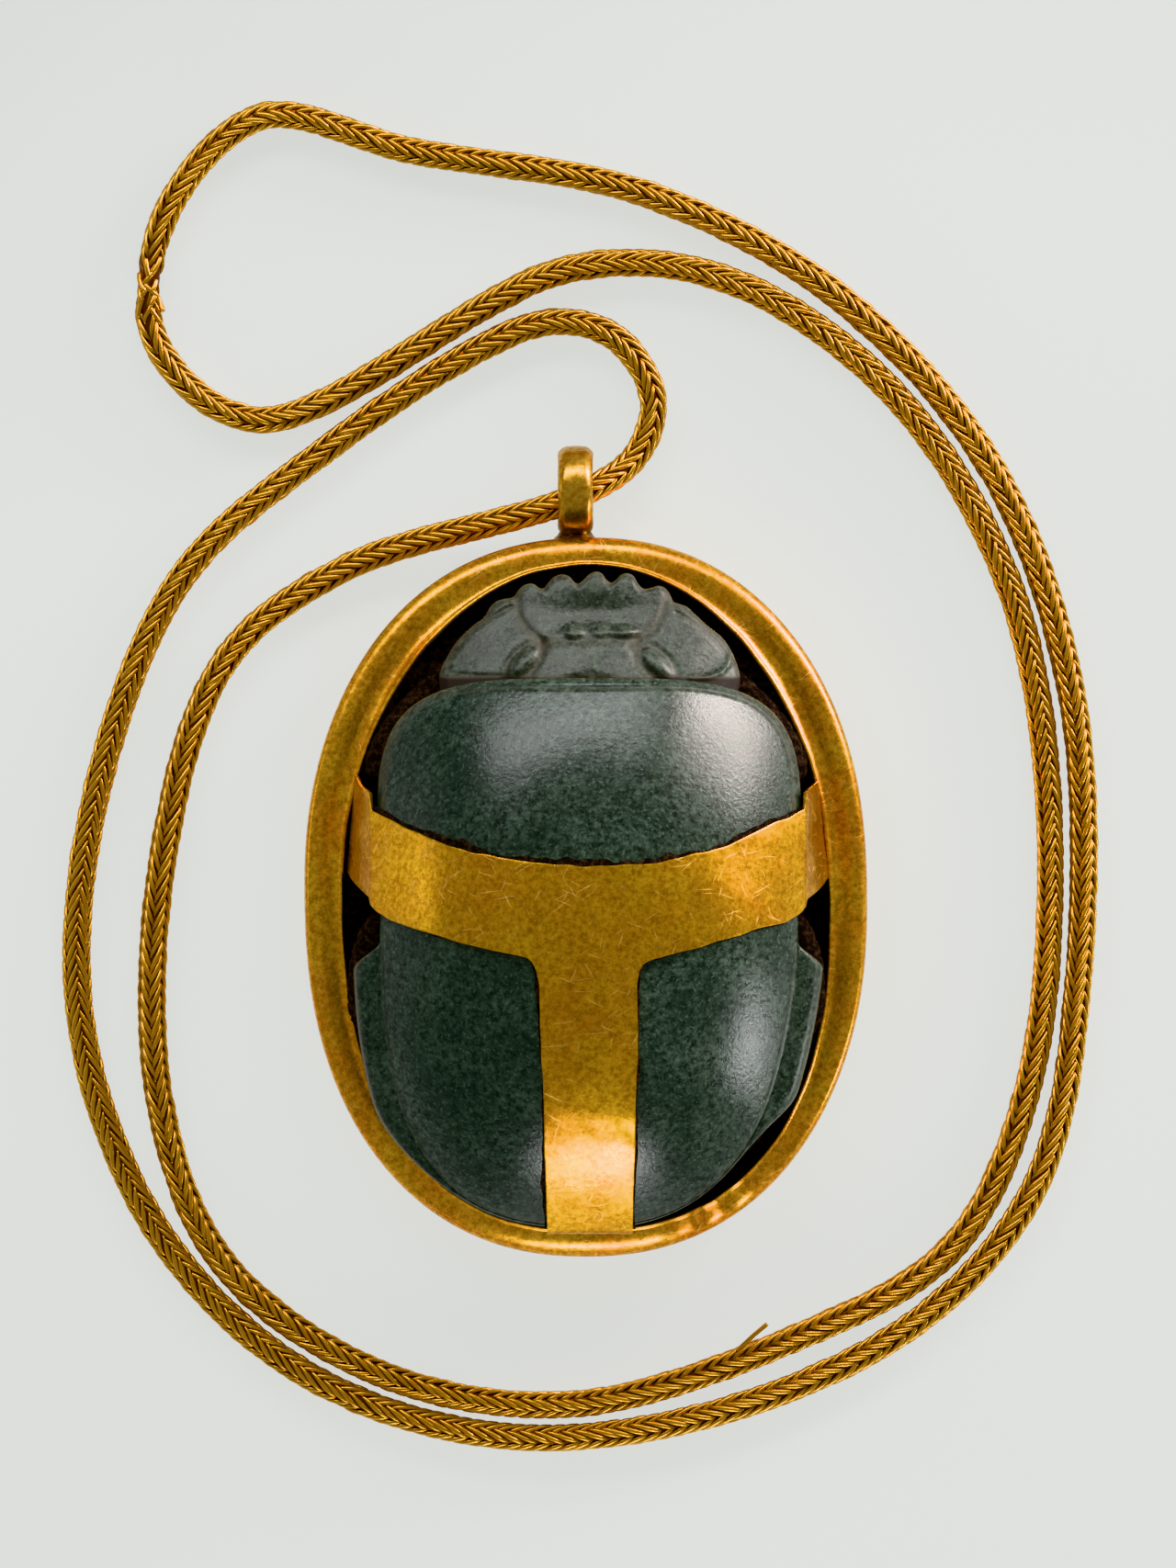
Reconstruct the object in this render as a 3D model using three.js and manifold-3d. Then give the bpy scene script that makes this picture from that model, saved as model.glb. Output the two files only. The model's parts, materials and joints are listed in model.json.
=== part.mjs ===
// Heart scarab amulet: a beetle carved in green stone, held in an oval gold mount under a
// T-shaped gold strap, with a suspension ring that an endless woven gold chain runs through.
// Millimetres, +Z up. The amulet lies on its flat back with the beetle's head towards +Y.

import * as THREE from 'three';
import Module from 'manifold-3d';

const CLEARANCE = 0.3;          // air between pieces that touch on the real amulet

// Gold mount, an oval channel of sheet seen from above as a superellipse
const MOUNT_WIDTH = 51.6;
const MOUNT_LENGTH = 66.0;
const MOUNT_SQUARENESS = 2.23;
const MOUNT_HEIGHT = 8.0;
const MOUNT_SHEET = 0.9;
const MOUNT_EDGE_ROUND = 1.0;   // rolled-over outer edge of the face
const OPENING_WIDTH = 44.4;     // inner lip of the face
const OPENING_LENGTH = 60.7;
const OPENING_SQUARENESS_HEAD = 2.1;
const OPENING_SQUARENESS_REAR = 2.6;
const FACE_DIP = 0.35;          // how far the face falls towards the lip
const LIP_BEAD = 0.35;          // rolled lip round the opening
const BACK_FLANGE = 3.4;        // width of the turned-in edge at the back
const MOUNT_STATIONS = 64;

// Suspension ring, soldered on end, its hole across the amulet
const RING_RADIUS = 4.15;
const RING_WALL = 1.2;
const RING_WIDTH = 3.2;
const RING_BEVEL = 0.5;
const RING_X = -0.95;
const RING_Z = 4.3;
const RING_STEPS = 28;
const FOOT_WIDTH = 3.7;         // solder foot where the ring meets the mount
const FOOT_NECK_WIDTH = 2.8;
const FOOT_HEIGHT = 3.2;
const FOOT_LENGTH = 0.9;

// Stone base that sits in the mount, and the body block between base and beetle
const BASE_TOP = 4.6;
const BASE_EDGE_CHAMFER = 0.5;
const BASE_UNDERSIDE = 0.5;     // height of the flat, cut back within the flange
const BODY_AXIS_X = 0.3;
const BLOCK_SQUARENESS = 2.3;
const BLOCK_SIDE_INSET = 0.8;   // from the chest's side, the head's tip and the wing cases' rear
const BLOCK_HEAD_INSET = 6.35;
const BLOCK_REAR_INSET = 2.4;
const BLOCK_LEVELS = [          // height above the base, growth in half width and in half length
  [-1.0, 2.7, 2.8], [0, 2.4, 2.4], [2.9, 1.1, 1.0], [6.4, 0, 0], [9.4, -1.3, -2.0],
];

// Beetle: wing cases behind, chest in front of them, then the head
const CREST_HEIGHT = 26.0;
const WING_CENTRE_Y = -3.0;
const WING_HALF_WIDTH = 19.0;
const WING_REACH_BACK = 25.9;
const WING_REACH_FRONT = 12.0;
const WING_SQUARENESS = 2.4;
const WING_DOME_POWER = 2.7;
const WING_SIDE_HEIGHT = 16.8;
const WING_REAR_HEIGHT = 14.0;
const WING_SKIRT = 1.9;         // margin outside the ridge line, widest at the shoulders
const WING_SKIRT_REAR = 0.3;
const WING_SKIRT_DROP = 3.0;

const CHEST_CENTRE_Y = 5.0;
const CHEST_HALF_WIDTH = 19.3;
const CHEST_REACH_FRONT = 14.9;
const CHEST_REACH_BACK = 6.5;
const CHEST_SQUARENESS_FRONT = 4.4;
const CHEST_SQUARENESS_BACK = 6.0;
const CHEST_SIDE_DROP = 10.0;
const CHEST_FRONT_DROP = 6.0;
const CHEST_BACK_DROP = 1.2;    // sinks under the wing cases behind the strap
const CHEST_DOME_POWER = 2.3;

const HEAD_AXIS_X = 0.6;
const HEAD_BACK_Y = 18.6;
const HEAD_HEIGHT = 18.4;       // top of the head where it meets the chest
const HEAD_SLOPE = 0.46;
const HEAD_SIDE_DROP = 3.0;
const CHEEK_HALF_WIDTH = 13.4;
const CHEEK_CORNER_X = 8.6;
const CHEEK_CORNER_Y = 27.0;
const CLYPEUS_RELIEF = 0.7;
const CLYPEUS_TIP_Y = 29.85;
const CLYPEUS_ARC = 0.036;      // fall of the row of teeth, per millimetre squared
const TOOTH_PITCH = 3.0;
const TOOTH_DEPTH = 0.85;
const TOOTH_COUNT = 5;
const VERTEX_RELIEF = 0.5;
const EYE_OFFSET_X = 5.9;
const EYE_Y = 21.6;
const EYE_SIZE = [1.75, 1.35, 0.9];
const EYE_TILT = 0.35;

const LEG_RADIUS = 1.25;
const LEG_SIDES = 8;
const FRONT_LEG = [             // inset from the chest's side, distance behind the teeth, height
  [2.3, 17.85, 11.0], [4.7, 11.65, 9.2], [9.5, 6.45, 7.6], [14.8, 3.65, 6.2],
];
const MIDDLE_LEG = [            // inset from the side, distance behind the wing cases' middle, height
  [1.1, -1.2, 10.5], [0, 2.4, 9.0], [-0.6, 7.5, 6.8],
];
const REAR_LEG = [              // inset from the side, distance from the wing cases' rear, height
  [0.9, 19.9, 9.4], [1.7, 13.4, 8.6], [5.9, 7.1, 7.4], [12.8, 2.5, 6.2],
];

// Gold strap, one sheet cut as a T, over the chest's rear edge and down the middle
const STRAP_SHEET = 0.5;
const STRAP_ARM_TOP = 7.6;      // strap edges at the body's sides and at the middle
const STRAP_ARM_TOP_MIDDLE = 3.0;
const STRAP_ARM_BOTTOM = -0.2;
const STRAP_ARM_BOTTOM_MIDDLE = -5.4;
const STRAP_CORNER_X = 6.4;     // where the arm's lower edge turns into the tail
const STRAP_TAIL_HALF_TOP = 4.4;
const STRAP_TAIL_HALF_BOTTOM = 3.9;
const STRAP_FILLET = 1.0;
const STRAP_GRID = 21;
const TAB_BACK = 0.2;           // side tabs, where the arms fold down to the mount
const TAB_FRONT = 10.5;
const TAB_SLANT = 0.8;
const TAB_FOOT_GAP = 0.5;       // from a tab's foot to the mount's lip

// Chain, from the middle of the ring round the amulet and back
const CHAIN_DIAMETER = 2.7;
const CHAIN_SIDES = 8;
const CHAIN_STEPS_PER_POINT = 2;
const CHAIN_LIFT = 3.7;         // height of the chain's middle where it crosses the ring
const CHAIN_REST = 0.13;        // air under the chain
const CHAIN_ROUTE = [
  [-1.0, 36.8], [4.7, 40.8], [6.2, 45.9], [2.8, 51.5], [-3.9, 52.9], [-26.2, 39.6], [-37.9, 28.5],
  [-45.8, 6.3], [-46.3, -13.2], [-39.0, -31.5], [-25.8, -44.0], [-7.8, -49.7], [12.0, -47.6],
  [30.9, -38.9], [41.6, -26.3], [45.6, -4.8], [44.5, 20.2], [37.0, 40.2], [23.1, 55.5], [5.3, 64.9],
  [-16.1, 68.8], [-30.0, 71.9], [-38.8, 62.8], [-39.6, 51.1], [-30.4, 44.0], [-1.5, 57.9],
  [12.8, 57.0], [28.1, 46.7], [38.7, 29.6], [42.6, 9.8], [40.9, -17.1], [33.8, -32.3], [19.3, -40.7],
  [-1.6, -46.8], [-19.1, -43.9], [-33.4, -33.8], [-39.2, -19.3], [-39.1, 2.9], [-33.3, 21.7],
  [-22.2, 30.3],
];

const wasm = await Module();
wasm.setup();

// A point of a superellipse about the origin, seen at the given angle
function superPoint(angle, halfWidth, halfLength, squareness) {
  const cos = Math.cos(angle);
  const sin = Math.sin(angle);
  const sum = Math.abs(cos / halfWidth) ** squareness + Math.abs(sin / halfLength) ** squareness;
  const radius = sum ** (-1 / squareness);
  return [radius * cos, radius * sin];
}

function angles(count) {
  return Array.from({ length: count }, (_, i) => (i / count) * 2 * Math.PI);
}

// A closed skin over rings of equal length, wound anticlockwise seen against their order.
// An open run of rings is closed by a fan at each end, a wrapped one joins its last to its first.
function skin(rings, wrapped = false) {
  const count = rings[0].length;
  const points = rings.flat();
  const faces = [];
  const last = wrapped ? rings.length : rings.length - 1;
  for (let r = 0; r < last; r += 1) {
    const here = r * count;
    const next = ((r + 1) % rings.length) * count;
    for (let i = 0; i < count; i += 1) {
      const j = (i + 1) % count;
      faces.push(here + i, here + j, next + j, here + i, next + j, next + i);
    }
  }
  if (!wrapped) {
    const ends = [[rings[0], 0, true], [rings[rings.length - 1], (rings.length - 1) * count, false]];
    for (const [ring, start, first] of ends) {
      const middle = ring.reduce((sum, p) => sum.map((s, k) => s + p[k] / count), [0, 0, 0]);
      const hub = points.push(middle) - 1;
      for (let i = 0; i < count; i += 1) {
        const a = start + i;
        const b = start + ((i + 1) % count);
        faces.push(hub, ...(first ? [b, a] : [a, b]));
      }
    }
  }
  return new wasm.Manifold(new wasm.Mesh({
    numProp: 3,
    vertProperties: new Float32Array(points.flat()),
    triVerts: new Uint32Array(faces),
  }));
}

function join(solids) {
  return solids.reduce((whole, solid) => whole.add(solid));
}

function geometryOf(solid) {
  const { vertProperties, triVerts } = solid.getMesh();
  const geometry = new THREE.BufferGeometry();
  geometry.setAttribute('position', new THREE.BufferAttribute(new Float32Array(vertProperties), 3));
  geometry.setIndex(new THREE.BufferAttribute(new Uint32Array(triVerts), 1));
  geometry.computeVertexNormals();
  return geometry;
}

// One cross-section of the mount's channel, from the outer bottom edge round to the back flange
function mountSection(angle) {
  const outer = superPoint(angle, MOUNT_WIDTH / 2, MOUNT_LENGTH / 2, MOUNT_SQUARENESS);
  const squareness = Math.sin(angle) > 0 ? OPENING_SQUARENESS_HEAD : OPENING_SQUARENESS_REAR;
  const inner = superPoint(angle, OPENING_WIDTH / 2, OPENING_LENGTH / 2, squareness);
  const outside = Math.hypot(...outer);
  const lip = Math.hypot(...inner);
  const top = MOUNT_HEIGHT;
  const low = MOUNT_HEIGHT - FACE_DIP;
  const radii = [
    [outside - MOUNT_SHEET / 2, 0],
    [outside, MOUNT_SHEET / 2],
    [outside, top - MOUNT_EDGE_ROUND],
    [outside - MOUNT_EDGE_ROUND * 0.3, top - MOUNT_EDGE_ROUND * 0.3],
    [outside - MOUNT_EDGE_ROUND, top],
    [lip + LIP_BEAD * 2, low],
    [lip + LIP_BEAD, low + LIP_BEAD / 2],
    [lip, low - LIP_BEAD / 2],
    [lip + LIP_BEAD, low - MOUNT_SHEET * 0.7],
    [outside - MOUNT_SHEET * 1.5, top - MOUNT_SHEET],
    [outside - MOUNT_SHEET, top - MOUNT_SHEET * 1.5],
    [outside - MOUNT_SHEET, MOUNT_SHEET],
    [outside - BACK_FLANGE, MOUNT_SHEET],
    [outside - BACK_FLANGE, 0],
  ];
  return radii.reverse().map(([radius, z]) => [radius * Math.cos(angle), radius * Math.sin(angle), z]);
}

function lipHalfWidth(y) {
  const squareness = y > 0 ? OPENING_SQUARENESS_HEAD : OPENING_SQUARENESS_REAR;
  return (OPENING_WIDTH / 2) * (1 - Math.abs((2 * y) / OPENING_LENGTH) ** squareness) ** (1 / squareness);
}

function mountSolid() {
  return skin(angles(MOUNT_STATIONS).map(mountSection), true);
}

// The ring is turned from a bevelled band, and its foot flares where it is soldered on
function ringSolid() {
  const hole = RING_RADIUS - RING_WALL;
  const half = RING_WIDTH / 2;
  const band = [
    [hole, -half + RING_BEVEL / 2], [hole, half - RING_BEVEL / 2], [hole + RING_BEVEL / 2, half],
    [RING_RADIUS - RING_BEVEL, half], [RING_RADIUS, half - RING_BEVEL], [RING_RADIUS, -half + RING_BEVEL],
    [RING_RADIUS - RING_BEVEL, -half], [hole + RING_BEVEL / 2, -half],
  ];
  const middleY = MOUNT_LENGTH / 2 + CLEARANCE + RING_RADIUS - RING_BEVEL / 2;
  const ring = skin(angles(RING_STEPS).map((turn) => band.map(([radius, x]) => [
    RING_X + x, middleY + radius * Math.sin(turn), RING_Z - radius * Math.cos(turn),
  ])), true);
  const foot = [[0, FOOT_WIDTH, FOOT_HEIGHT], [FOOT_LENGTH, FOOT_NECK_WIDTH, FOOT_HEIGHT * 0.85]].map(
    ([along, width, height]) => [[1, -1], [-1, -1], [-1, 1], [1, 1]].map(([sideX, sideZ]) => [
      RING_X + (sideX * width) / 2,
      MOUNT_LENGTH / 2 + CLEARANCE + along,
      RING_Z + (sideZ * height) / 2,
    ]),
  );
  return ring.add(skin(foot));
}

// Wing cases: a dome whose edge is the ridge line, seen from the middle of the wing cases
function ridgeReach(angle) {
  const back = Math.sin(angle) < 0 ? WING_REACH_BACK : WING_REACH_FRONT;
  return Math.hypot(...superPoint(angle, WING_HALF_WIDTH, back, WING_SQUARENESS));
}

function ridgeHeight(angle) {
  const back = Math.max(0, -Math.sin(angle));
  return WING_SIDE_HEIGHT + (WING_REAR_HEIGHT - WING_SIDE_HEIGHT) * back ** 2;
}

function wingHeight(x, y) {
  const angle = Math.atan2(y - WING_CENTRE_Y, x - BODY_AXIS_X);
  const share = Math.hypot(x - BODY_AXIS_X, y - WING_CENTRE_Y) / ridgeReach(angle);
  const edge = ridgeHeight(angle);
  return edge + (CREST_HEIGHT - edge) * (1 - share ** WING_DOME_POWER);
}

function chestHeight(x, y) {
  const forward = Math.max(0, y) / (CHEST_CENTRE_Y + CHEST_REACH_FRONT);
  const back = Math.max(0, -y) / (CHEST_REACH_BACK - CHEST_CENTRE_Y);
  const across = Math.abs(x - BODY_AXIS_X) / CHEST_HALF_WIDTH;
  return CREST_HEIGHT - CHEST_FRONT_DROP * forward ** 2 - CHEST_BACK_DROP * back ** 2
    - CHEST_SIDE_DROP * across ** CHEST_DOME_POWER;
}

function headHeight(x, y) {
  const across = Math.abs(x - HEAD_AXIS_X) / CHEEK_HALF_WIDTH;
  return HEAD_HEIGHT - HEAD_SLOPE * (y - HEAD_BACK_Y) - HEAD_SIDE_DROP * across ** 2;
}

// A carved form with the given outline: domed top, a short wall, and a root inside the block
function carvedForm(outline, middle, topAt, wall, root, shares = [1, 0.93, 0.8, 0.6, 0.35]) {
  const at = (share, height) => outline.map(([x, y]) => {
    const px = middle[0] + (x - middle[0]) * share;
    const py = middle[1] + (y - middle[1]) * share;
    return [px, py, height(px, py)];
  });
  const edge = at(1, topAt);
  return skin([
    at(root.share, () => root.height),
    edge.map(([x, y, z]) => [x, y, z - wall]),
    edge,
    ...shares.slice(1).map((share) => at(share, topAt)),
  ]);
}

function wingSolid() {
  const count = 56;
  const skirtAt = (angle) => {
    const below = -Math.sin(angle);
    const shoulder = THREE.MathUtils.smoothstep(below, 0.05, 0.25);
    const rear = THREE.MathUtils.smoothstep(below, 0.72, 0.98);
    return shoulder * (WING_SKIRT + (WING_SKIRT_REAR - WING_SKIRT) * rear);
  };
  const ring = (share, extra, drop) => angles(count).map((angle) => {
    const radius = ridgeReach(angle) * share + skirtAt(angle) * extra;
    const x = BODY_AXIS_X + radius * Math.cos(angle);
    const y = WING_CENTRE_Y + radius * Math.sin(angle);
    const edge = ridgeHeight(angle);
    const fall = (drop * skirtAt(angle)) / WING_SKIRT;
    return [x, y, edge + (CREST_HEIGHT - edge) * (1 - Math.min(1, share) ** WING_DOME_POWER) - fall];
  });
  return skin([
    ring(0.7, 0, 0).map(([x, y]) => [x, y, BASE_TOP + 2]),
    ring(0.97, 1, WING_SKIRT_DROP).map(([x, y, z]) => [x, y, Math.max(z - 2.4, BASE_TOP + 2.5)]),
    ring(1, 1, WING_SKIRT_DROP),
    ring(1, 0, 0),
    ring(0.96, 0, 0), ring(0.88, 0, 0), ring(0.77, 0, 0), ring(0.62, 0, 0), ring(0.42, 0, 0), ring(0.2, 0, 0),
  ]);
}

function chestOutline() {
  return angles(64).map((angle) => {
    const front = Math.sin(angle) > 0;
    const reach = front ? CHEST_REACH_FRONT : CHEST_REACH_BACK;
    const squareness = front ? CHEST_SQUARENESS_FRONT : CHEST_SQUARENESS_BACK;
    const [x, y] = superPoint(angle, CHEST_HALF_WIDTH, reach, squareness);
    return [BODY_AXIS_X + x, CHEST_CENTRE_Y + y];
  });
}

function mirrored(rightSide) {
  const left = rightSide.map(([x, y]) => [-x, y]).reverse();
  return [...rightSide, ...left].map(([x, y]) => [HEAD_AXIS_X + x, y]);
}

function cheekOutline() {
  const curve = new THREE.SplineCurve([
    [CHEEK_HALF_WIDTH, HEAD_BACK_Y], [CHEEK_HALF_WIDTH, 21.2], [12.2, 23.4], [10.3, 25.6],
    [CHEEK_CORNER_X, CHEEK_CORNER_Y],
  ].map(([x, y]) => new THREE.Vector2(x, y)));
  const side = curve.getPoints(8).map((point) => [point.x, point.y]);
  return mirrored([[6, HEAD_BACK_Y - 1], [10, HEAD_BACK_Y - 1], ...side, [4, CHEEK_CORNER_Y + 0.4]]);
}

// The toothed front plate: its teeth stand on a shallow arc and valleys part them
function clypeusOutline() {
  const half = (TOOTH_COUNT / 2) * TOOTH_PITCH;
  const side = [[3.9, 22.4], [4.8, 23.8], [6.3, 25.6]];
  const steps = TOOTH_COUNT * 8;
  const teeth = Array.from({ length: steps / 2 }, (_, i) => {
    const x = half - (i * 2 * half) / steps;
    const valley = Math.abs(Math.sin((Math.PI * x) / TOOTH_PITCH)) ** 2.5;
    return [x, CLYPEUS_TIP_Y - CLYPEUS_ARC * x * x - TOOTH_DEPTH * valley];
  });
  return mirrored([[1.5, 22.2], ...side, ...teeth]);
}

function vertexOutline() {
  return angles(20).map((angle) => {
    const [x, y] = superPoint(angle, 4.9, 2.3, 3);
    return [HEAD_AXIS_X + x * (1 - y * 0.08), EYE_Y + y];
  });
}

function eyeSolid(side) {
  const [along, across, up] = EYE_SIZE;
  const middle = new THREE.Vector3(HEAD_AXIS_X + side * EYE_OFFSET_X, EYE_Y, 0);
  middle.z = headHeight(middle.x, middle.y) + 0.1;
  const level = (pitch) => angles(14).map((turn) => {
    const x = along * Math.cos(pitch) * Math.cos(turn);
    const y = across * Math.cos(pitch) * Math.sin(turn);
    const tilt = side * EYE_TILT;
    return [
      middle.x + x * Math.cos(tilt) - y * Math.sin(tilt),
      middle.y + x * Math.sin(tilt) + y * Math.cos(tilt),
      middle.z + up * Math.sin(pitch),
    ];
  });
  return skin([-1.2, -0.6, 0, 0.45, 0.9, 1.3].map(level));
}

// A folded leg: a round bar that hugs the block, thicker at its root
function legSolid(route) {
  const curve = new THREE.CatmullRomCurve3(route.map((point) => new THREE.Vector3(...point)));
  const steps = 7;
  const frames = curve.computeFrenetFrames(steps, false);
  return skin(frames.tangents.map((_, i) => {
    const centre = curve.getPointAt(i / steps);
    const radius = LEG_RADIUS * (1 - (0.35 * i) / steps);
    return angles(LEG_SIDES).map((turn) => centre.clone()
      .addScaledVector(frames.normals[i], radius * Math.cos(turn))
      .addScaledVector(frames.binormals[i], radius * Math.sin(turn))
      .toArray());
  }));
}

function legSolids() {
  const rear = WING_CENTRE_Y - WING_REACH_BACK;
  const routes = [
    FRONT_LEG.map(([inset, behind, z]) => [CHEST_HALF_WIDTH - inset, CLYPEUS_TIP_Y - behind, z]),
    MIDDLE_LEG.map(([inset, behind, z]) => [CHEST_HALF_WIDTH - inset, WING_CENTRE_Y - behind, z]),
    REAR_LEG.map(([inset, ahead, z]) => [CHEST_HALF_WIDTH - inset, rear + ahead, z]),
  ];
  return routes.flatMap((route) => [1, -1].map((side) => legSolid(
    route.map(([x, y, z]) => [BODY_AXIS_X + side * x, y, z]),
  )));
}

// The base fills the mount with a clearance, and a flat boss reaches into the back flange
function baseSolid() {
  const seat = MOUNT_SHEET + CLEARANCE;
  const level = (inset, z) => angles(MOUNT_STATIONS).map((angle) => {
    const [x, y] = superPoint(angle, MOUNT_WIDTH / 2, MOUNT_LENGTH / 2, MOUNT_SQUARENESS);
    const radius = Math.hypot(x, y) - inset;
    return [radius * Math.cos(angle), radius * Math.sin(angle), z];
  });
  const boss = BACK_FLANGE + CLEARANCE;
  return skin([
    level(boss, BASE_UNDERSIDE), level(boss, seat), level(seat + BASE_EDGE_CHAMFER, seat),
    level(seat, seat + BASE_EDGE_CHAMFER), level(seat, BASE_TOP - BASE_EDGE_CHAMFER),
    level(seat + BASE_EDGE_CHAMFER, BASE_TOP),
  ]);
}

function blockSolid() {
  const front = CLYPEUS_TIP_Y - BLOCK_HEAD_INSET;
  const rear = WING_CENTRE_Y - WING_REACH_BACK + BLOCK_REAR_INSET;
  return skin(BLOCK_LEVELS.map(([rise, wider, longer]) => angles(52).map((angle) => {
    const halfWidth = CHEST_HALF_WIDTH - BLOCK_SIDE_INSET + wider;
    const [x, y] = superPoint(angle, halfWidth, (front - rear) / 2 + longer, BLOCK_SQUARENESS);
    return [BODY_AXIS_X + x, (front + rear) / 2 + y, BASE_TOP + rise];
  })));
}

function stoneSolid() {
  const headMiddle = [HEAD_AXIS_X, 22.5];
  const raised = (relief) => (x, y) => headHeight(x, y) + relief;
  const neck = { share: 0.6, height: BASE_TOP + 3 };
  return join([
    baseSolid(),
    blockSolid(),
    wingSolid(),
    carvedForm(chestOutline(), [BODY_AXIS_X, CHEST_CENTRE_Y], chestHeight, 1.6, { share: 0.8, height: 10 }),
    carvedForm(cheekOutline(), headMiddle, headHeight, 3.2, neck, [1, 0.85, 0.5]),
    carvedForm(clypeusOutline(), [HEAD_AXIS_X, 25.5], raised(CLYPEUS_RELIEF), 3.0, neck, [1, 0.85, 0.5]),
    carvedForm(vertexOutline(), [HEAD_AXIS_X, EYE_Y], raised(VERTEX_RELIEF), 2.0, neck, [1, 0.8]),
    eyeSolid(1),
    eyeSolid(-1),
    ...legSolids(),
  ]);
}

function bodyTop(x, y) {
  return Math.max(wingHeight(x, y), chestHeight(x, y));
}

// Stands off the carved top, square to its surface, by the given distance
function aboveBody(x, y, distance) {
  const step = 0.2;
  const slopeX = (bodyTop(x + step, y) - bodyTop(x - step, y)) / (2 * step);
  const slopeY = (bodyTop(x, y + step) - bodyTop(x, y - step)) / (2 * step);
  const normal = new THREE.Vector3(-slopeX, -slopeY, 1).normalize();
  return [x + normal.x * distance, y + normal.y * distance, bodyTop(x, y) + normal.z * distance];
}

function strapShape() {
  const half = CHEST_HALF_WIDTH + CLEARANCE;
  const rear = WING_CENTRE_Y - WING_REACH_BACK - WING_SKIRT_REAR - CLEARANCE - STRAP_SHEET;
  const shape = new THREE.Shape();
  shape.moveTo(half, STRAP_ARM_BOTTOM);
  shape.quadraticCurveTo(half, STRAP_ARM_TOP - 1, half, STRAP_ARM_TOP);
  shape.quadraticCurveTo(half / 2, STRAP_ARM_TOP_MIDDLE, 0, STRAP_ARM_TOP_MIDDLE);
  shape.quadraticCurveTo(-half / 2, STRAP_ARM_TOP_MIDDLE, -half, STRAP_ARM_TOP);
  shape.lineTo(-half, STRAP_ARM_BOTTOM);
  shape.quadraticCurveTo(-half * 0.75, -3.9, -STRAP_CORNER_X, STRAP_ARM_BOTTOM_MIDDLE);
  shape.quadraticCurveTo(
    -STRAP_TAIL_HALF_TOP, STRAP_ARM_BOTTOM_MIDDLE - STRAP_FILLET * 0.3,
    -STRAP_TAIL_HALF_TOP, STRAP_ARM_BOTTOM_MIDDLE - STRAP_FILLET * 1.8,
  );
  shape.lineTo(-STRAP_TAIL_HALF_BOTTOM, rear);
  shape.lineTo(STRAP_TAIL_HALF_BOTTOM, rear);
  shape.lineTo(STRAP_TAIL_HALF_TOP, STRAP_ARM_BOTTOM_MIDDLE - STRAP_FILLET * 1.8);
  shape.quadraticCurveTo(
    STRAP_TAIL_HALF_TOP, STRAP_ARM_BOTTOM_MIDDLE - STRAP_FILLET * 0.3,
    STRAP_CORNER_X, STRAP_ARM_BOTTOM_MIDDLE,
  );
  shape.quadraticCurveTo(half * 0.75, -3.9, half, STRAP_ARM_BOTTOM);
  return { shape, half, rear };
}

// The sheet over the whole body, trimmed to the T, with a tab down each side to the mount's lip
function strapSolid() {
  const { shape, half, rear } = strapShape();
  const spread = (low, high) => Array.from(
    { length: STRAP_GRID + 1 }, (_, i) => low + ((high - low) * i) / STRAP_GRID,
  );
  const ys = spread(rear - 0.6, STRAP_ARM_TOP + 1);
  const sheet = skin(spread(-half - 0.2, half + 0.2).map((x) => [
    ...ys.map((y) => aboveBody(x, y, CLEARANCE)),
    ...[...ys].reverse().map((y) => aboveBody(x, y, CLEARANCE + STRAP_SHEET)),
  ]));
  const outline = shape.getPoints(10).slice(0, -1).map((point) => [BODY_AXIS_X + point.x, point.y]);
  const trim = skin([0, CREST_HEIGHT + 5].map((z) => outline.map(([x, y]) => [x, y, z])));
  const foldZ = CREST_HEIGHT - CHEST_SIDE_DROP;
  const footZ = MOUNT_HEIGHT - 0.4;
  const tab = (side) => {
    const fold = BODY_AXIS_X * side + half;
    const rows = [TAB_BACK, (TAB_BACK + TAB_FRONT) / 2, TAB_FRONT].map((y) => {
      const foot = lipHalfWidth(y) - TAB_FOOT_GAP;
      const across = [
        [fold - 0.3, foldZ + 1.0], [fold, foldZ - 0.4], [foot - STRAP_SHEET, footZ],
        [foot, footZ], [fold + STRAP_SHEET, foldZ - 0.2], [fold + 0.25, foldZ + 1.1],
      ];
      const inward = y === TAB_BACK ? TAB_SLANT : y === TAB_FRONT ? -TAB_SLANT : 0;
      return across.map(([x, z], i) => [side * x, y + (i === 2 || i === 3 ? inward : 0), z]);
    });
    return skin(side > 0 ? rows.map((row) => row.reverse()) : rows);
  };
  return join([sheet.intersect(trim), tab(1), tab(-1)]);
}

const mountGold = new THREE.MeshStandardMaterial({ color: '#b8841c', roughness: 0.32, metalness: 1 });
const strapGold = new THREE.MeshStandardMaterial({ color: '#b57f18', roughness: 0.3, metalness: 1 });
const ringGold = new THREE.MeshStandardMaterial({ color: '#b98a2a', roughness: 0.25, metalness: 1 });
const chainGold = new THREE.MeshStandardMaterial({ color: '#a87722', roughness: 0.35, metalness: 1 });
const greenStone = new THREE.MeshStandardMaterial({ color: '#2c4036', roughness: 0.42, metalness: 0 });

// The endless chain: a round cord that lies beside the amulet and lifts over the ring's wall
function chainGeometry() {
  const rest = CHAIN_DIAMETER / 2 + CHAIN_REST;
  const curve = new THREE.CatmullRomCurve3(
    CHAIN_ROUTE.map(([x, y], i) => new THREE.Vector3(x, y, i === 0 ? CHAIN_LIFT : rest)),
    true,
    'centripetal',
  );
  curve.getUtoTmapping = (share) => share;
  const steps = CHAIN_ROUTE.length * CHAIN_STEPS_PER_POINT;
  return new THREE.TubeGeometry(curve, steps, CHAIN_DIAMETER / 2, CHAIN_SIDES, true);
}

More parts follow.
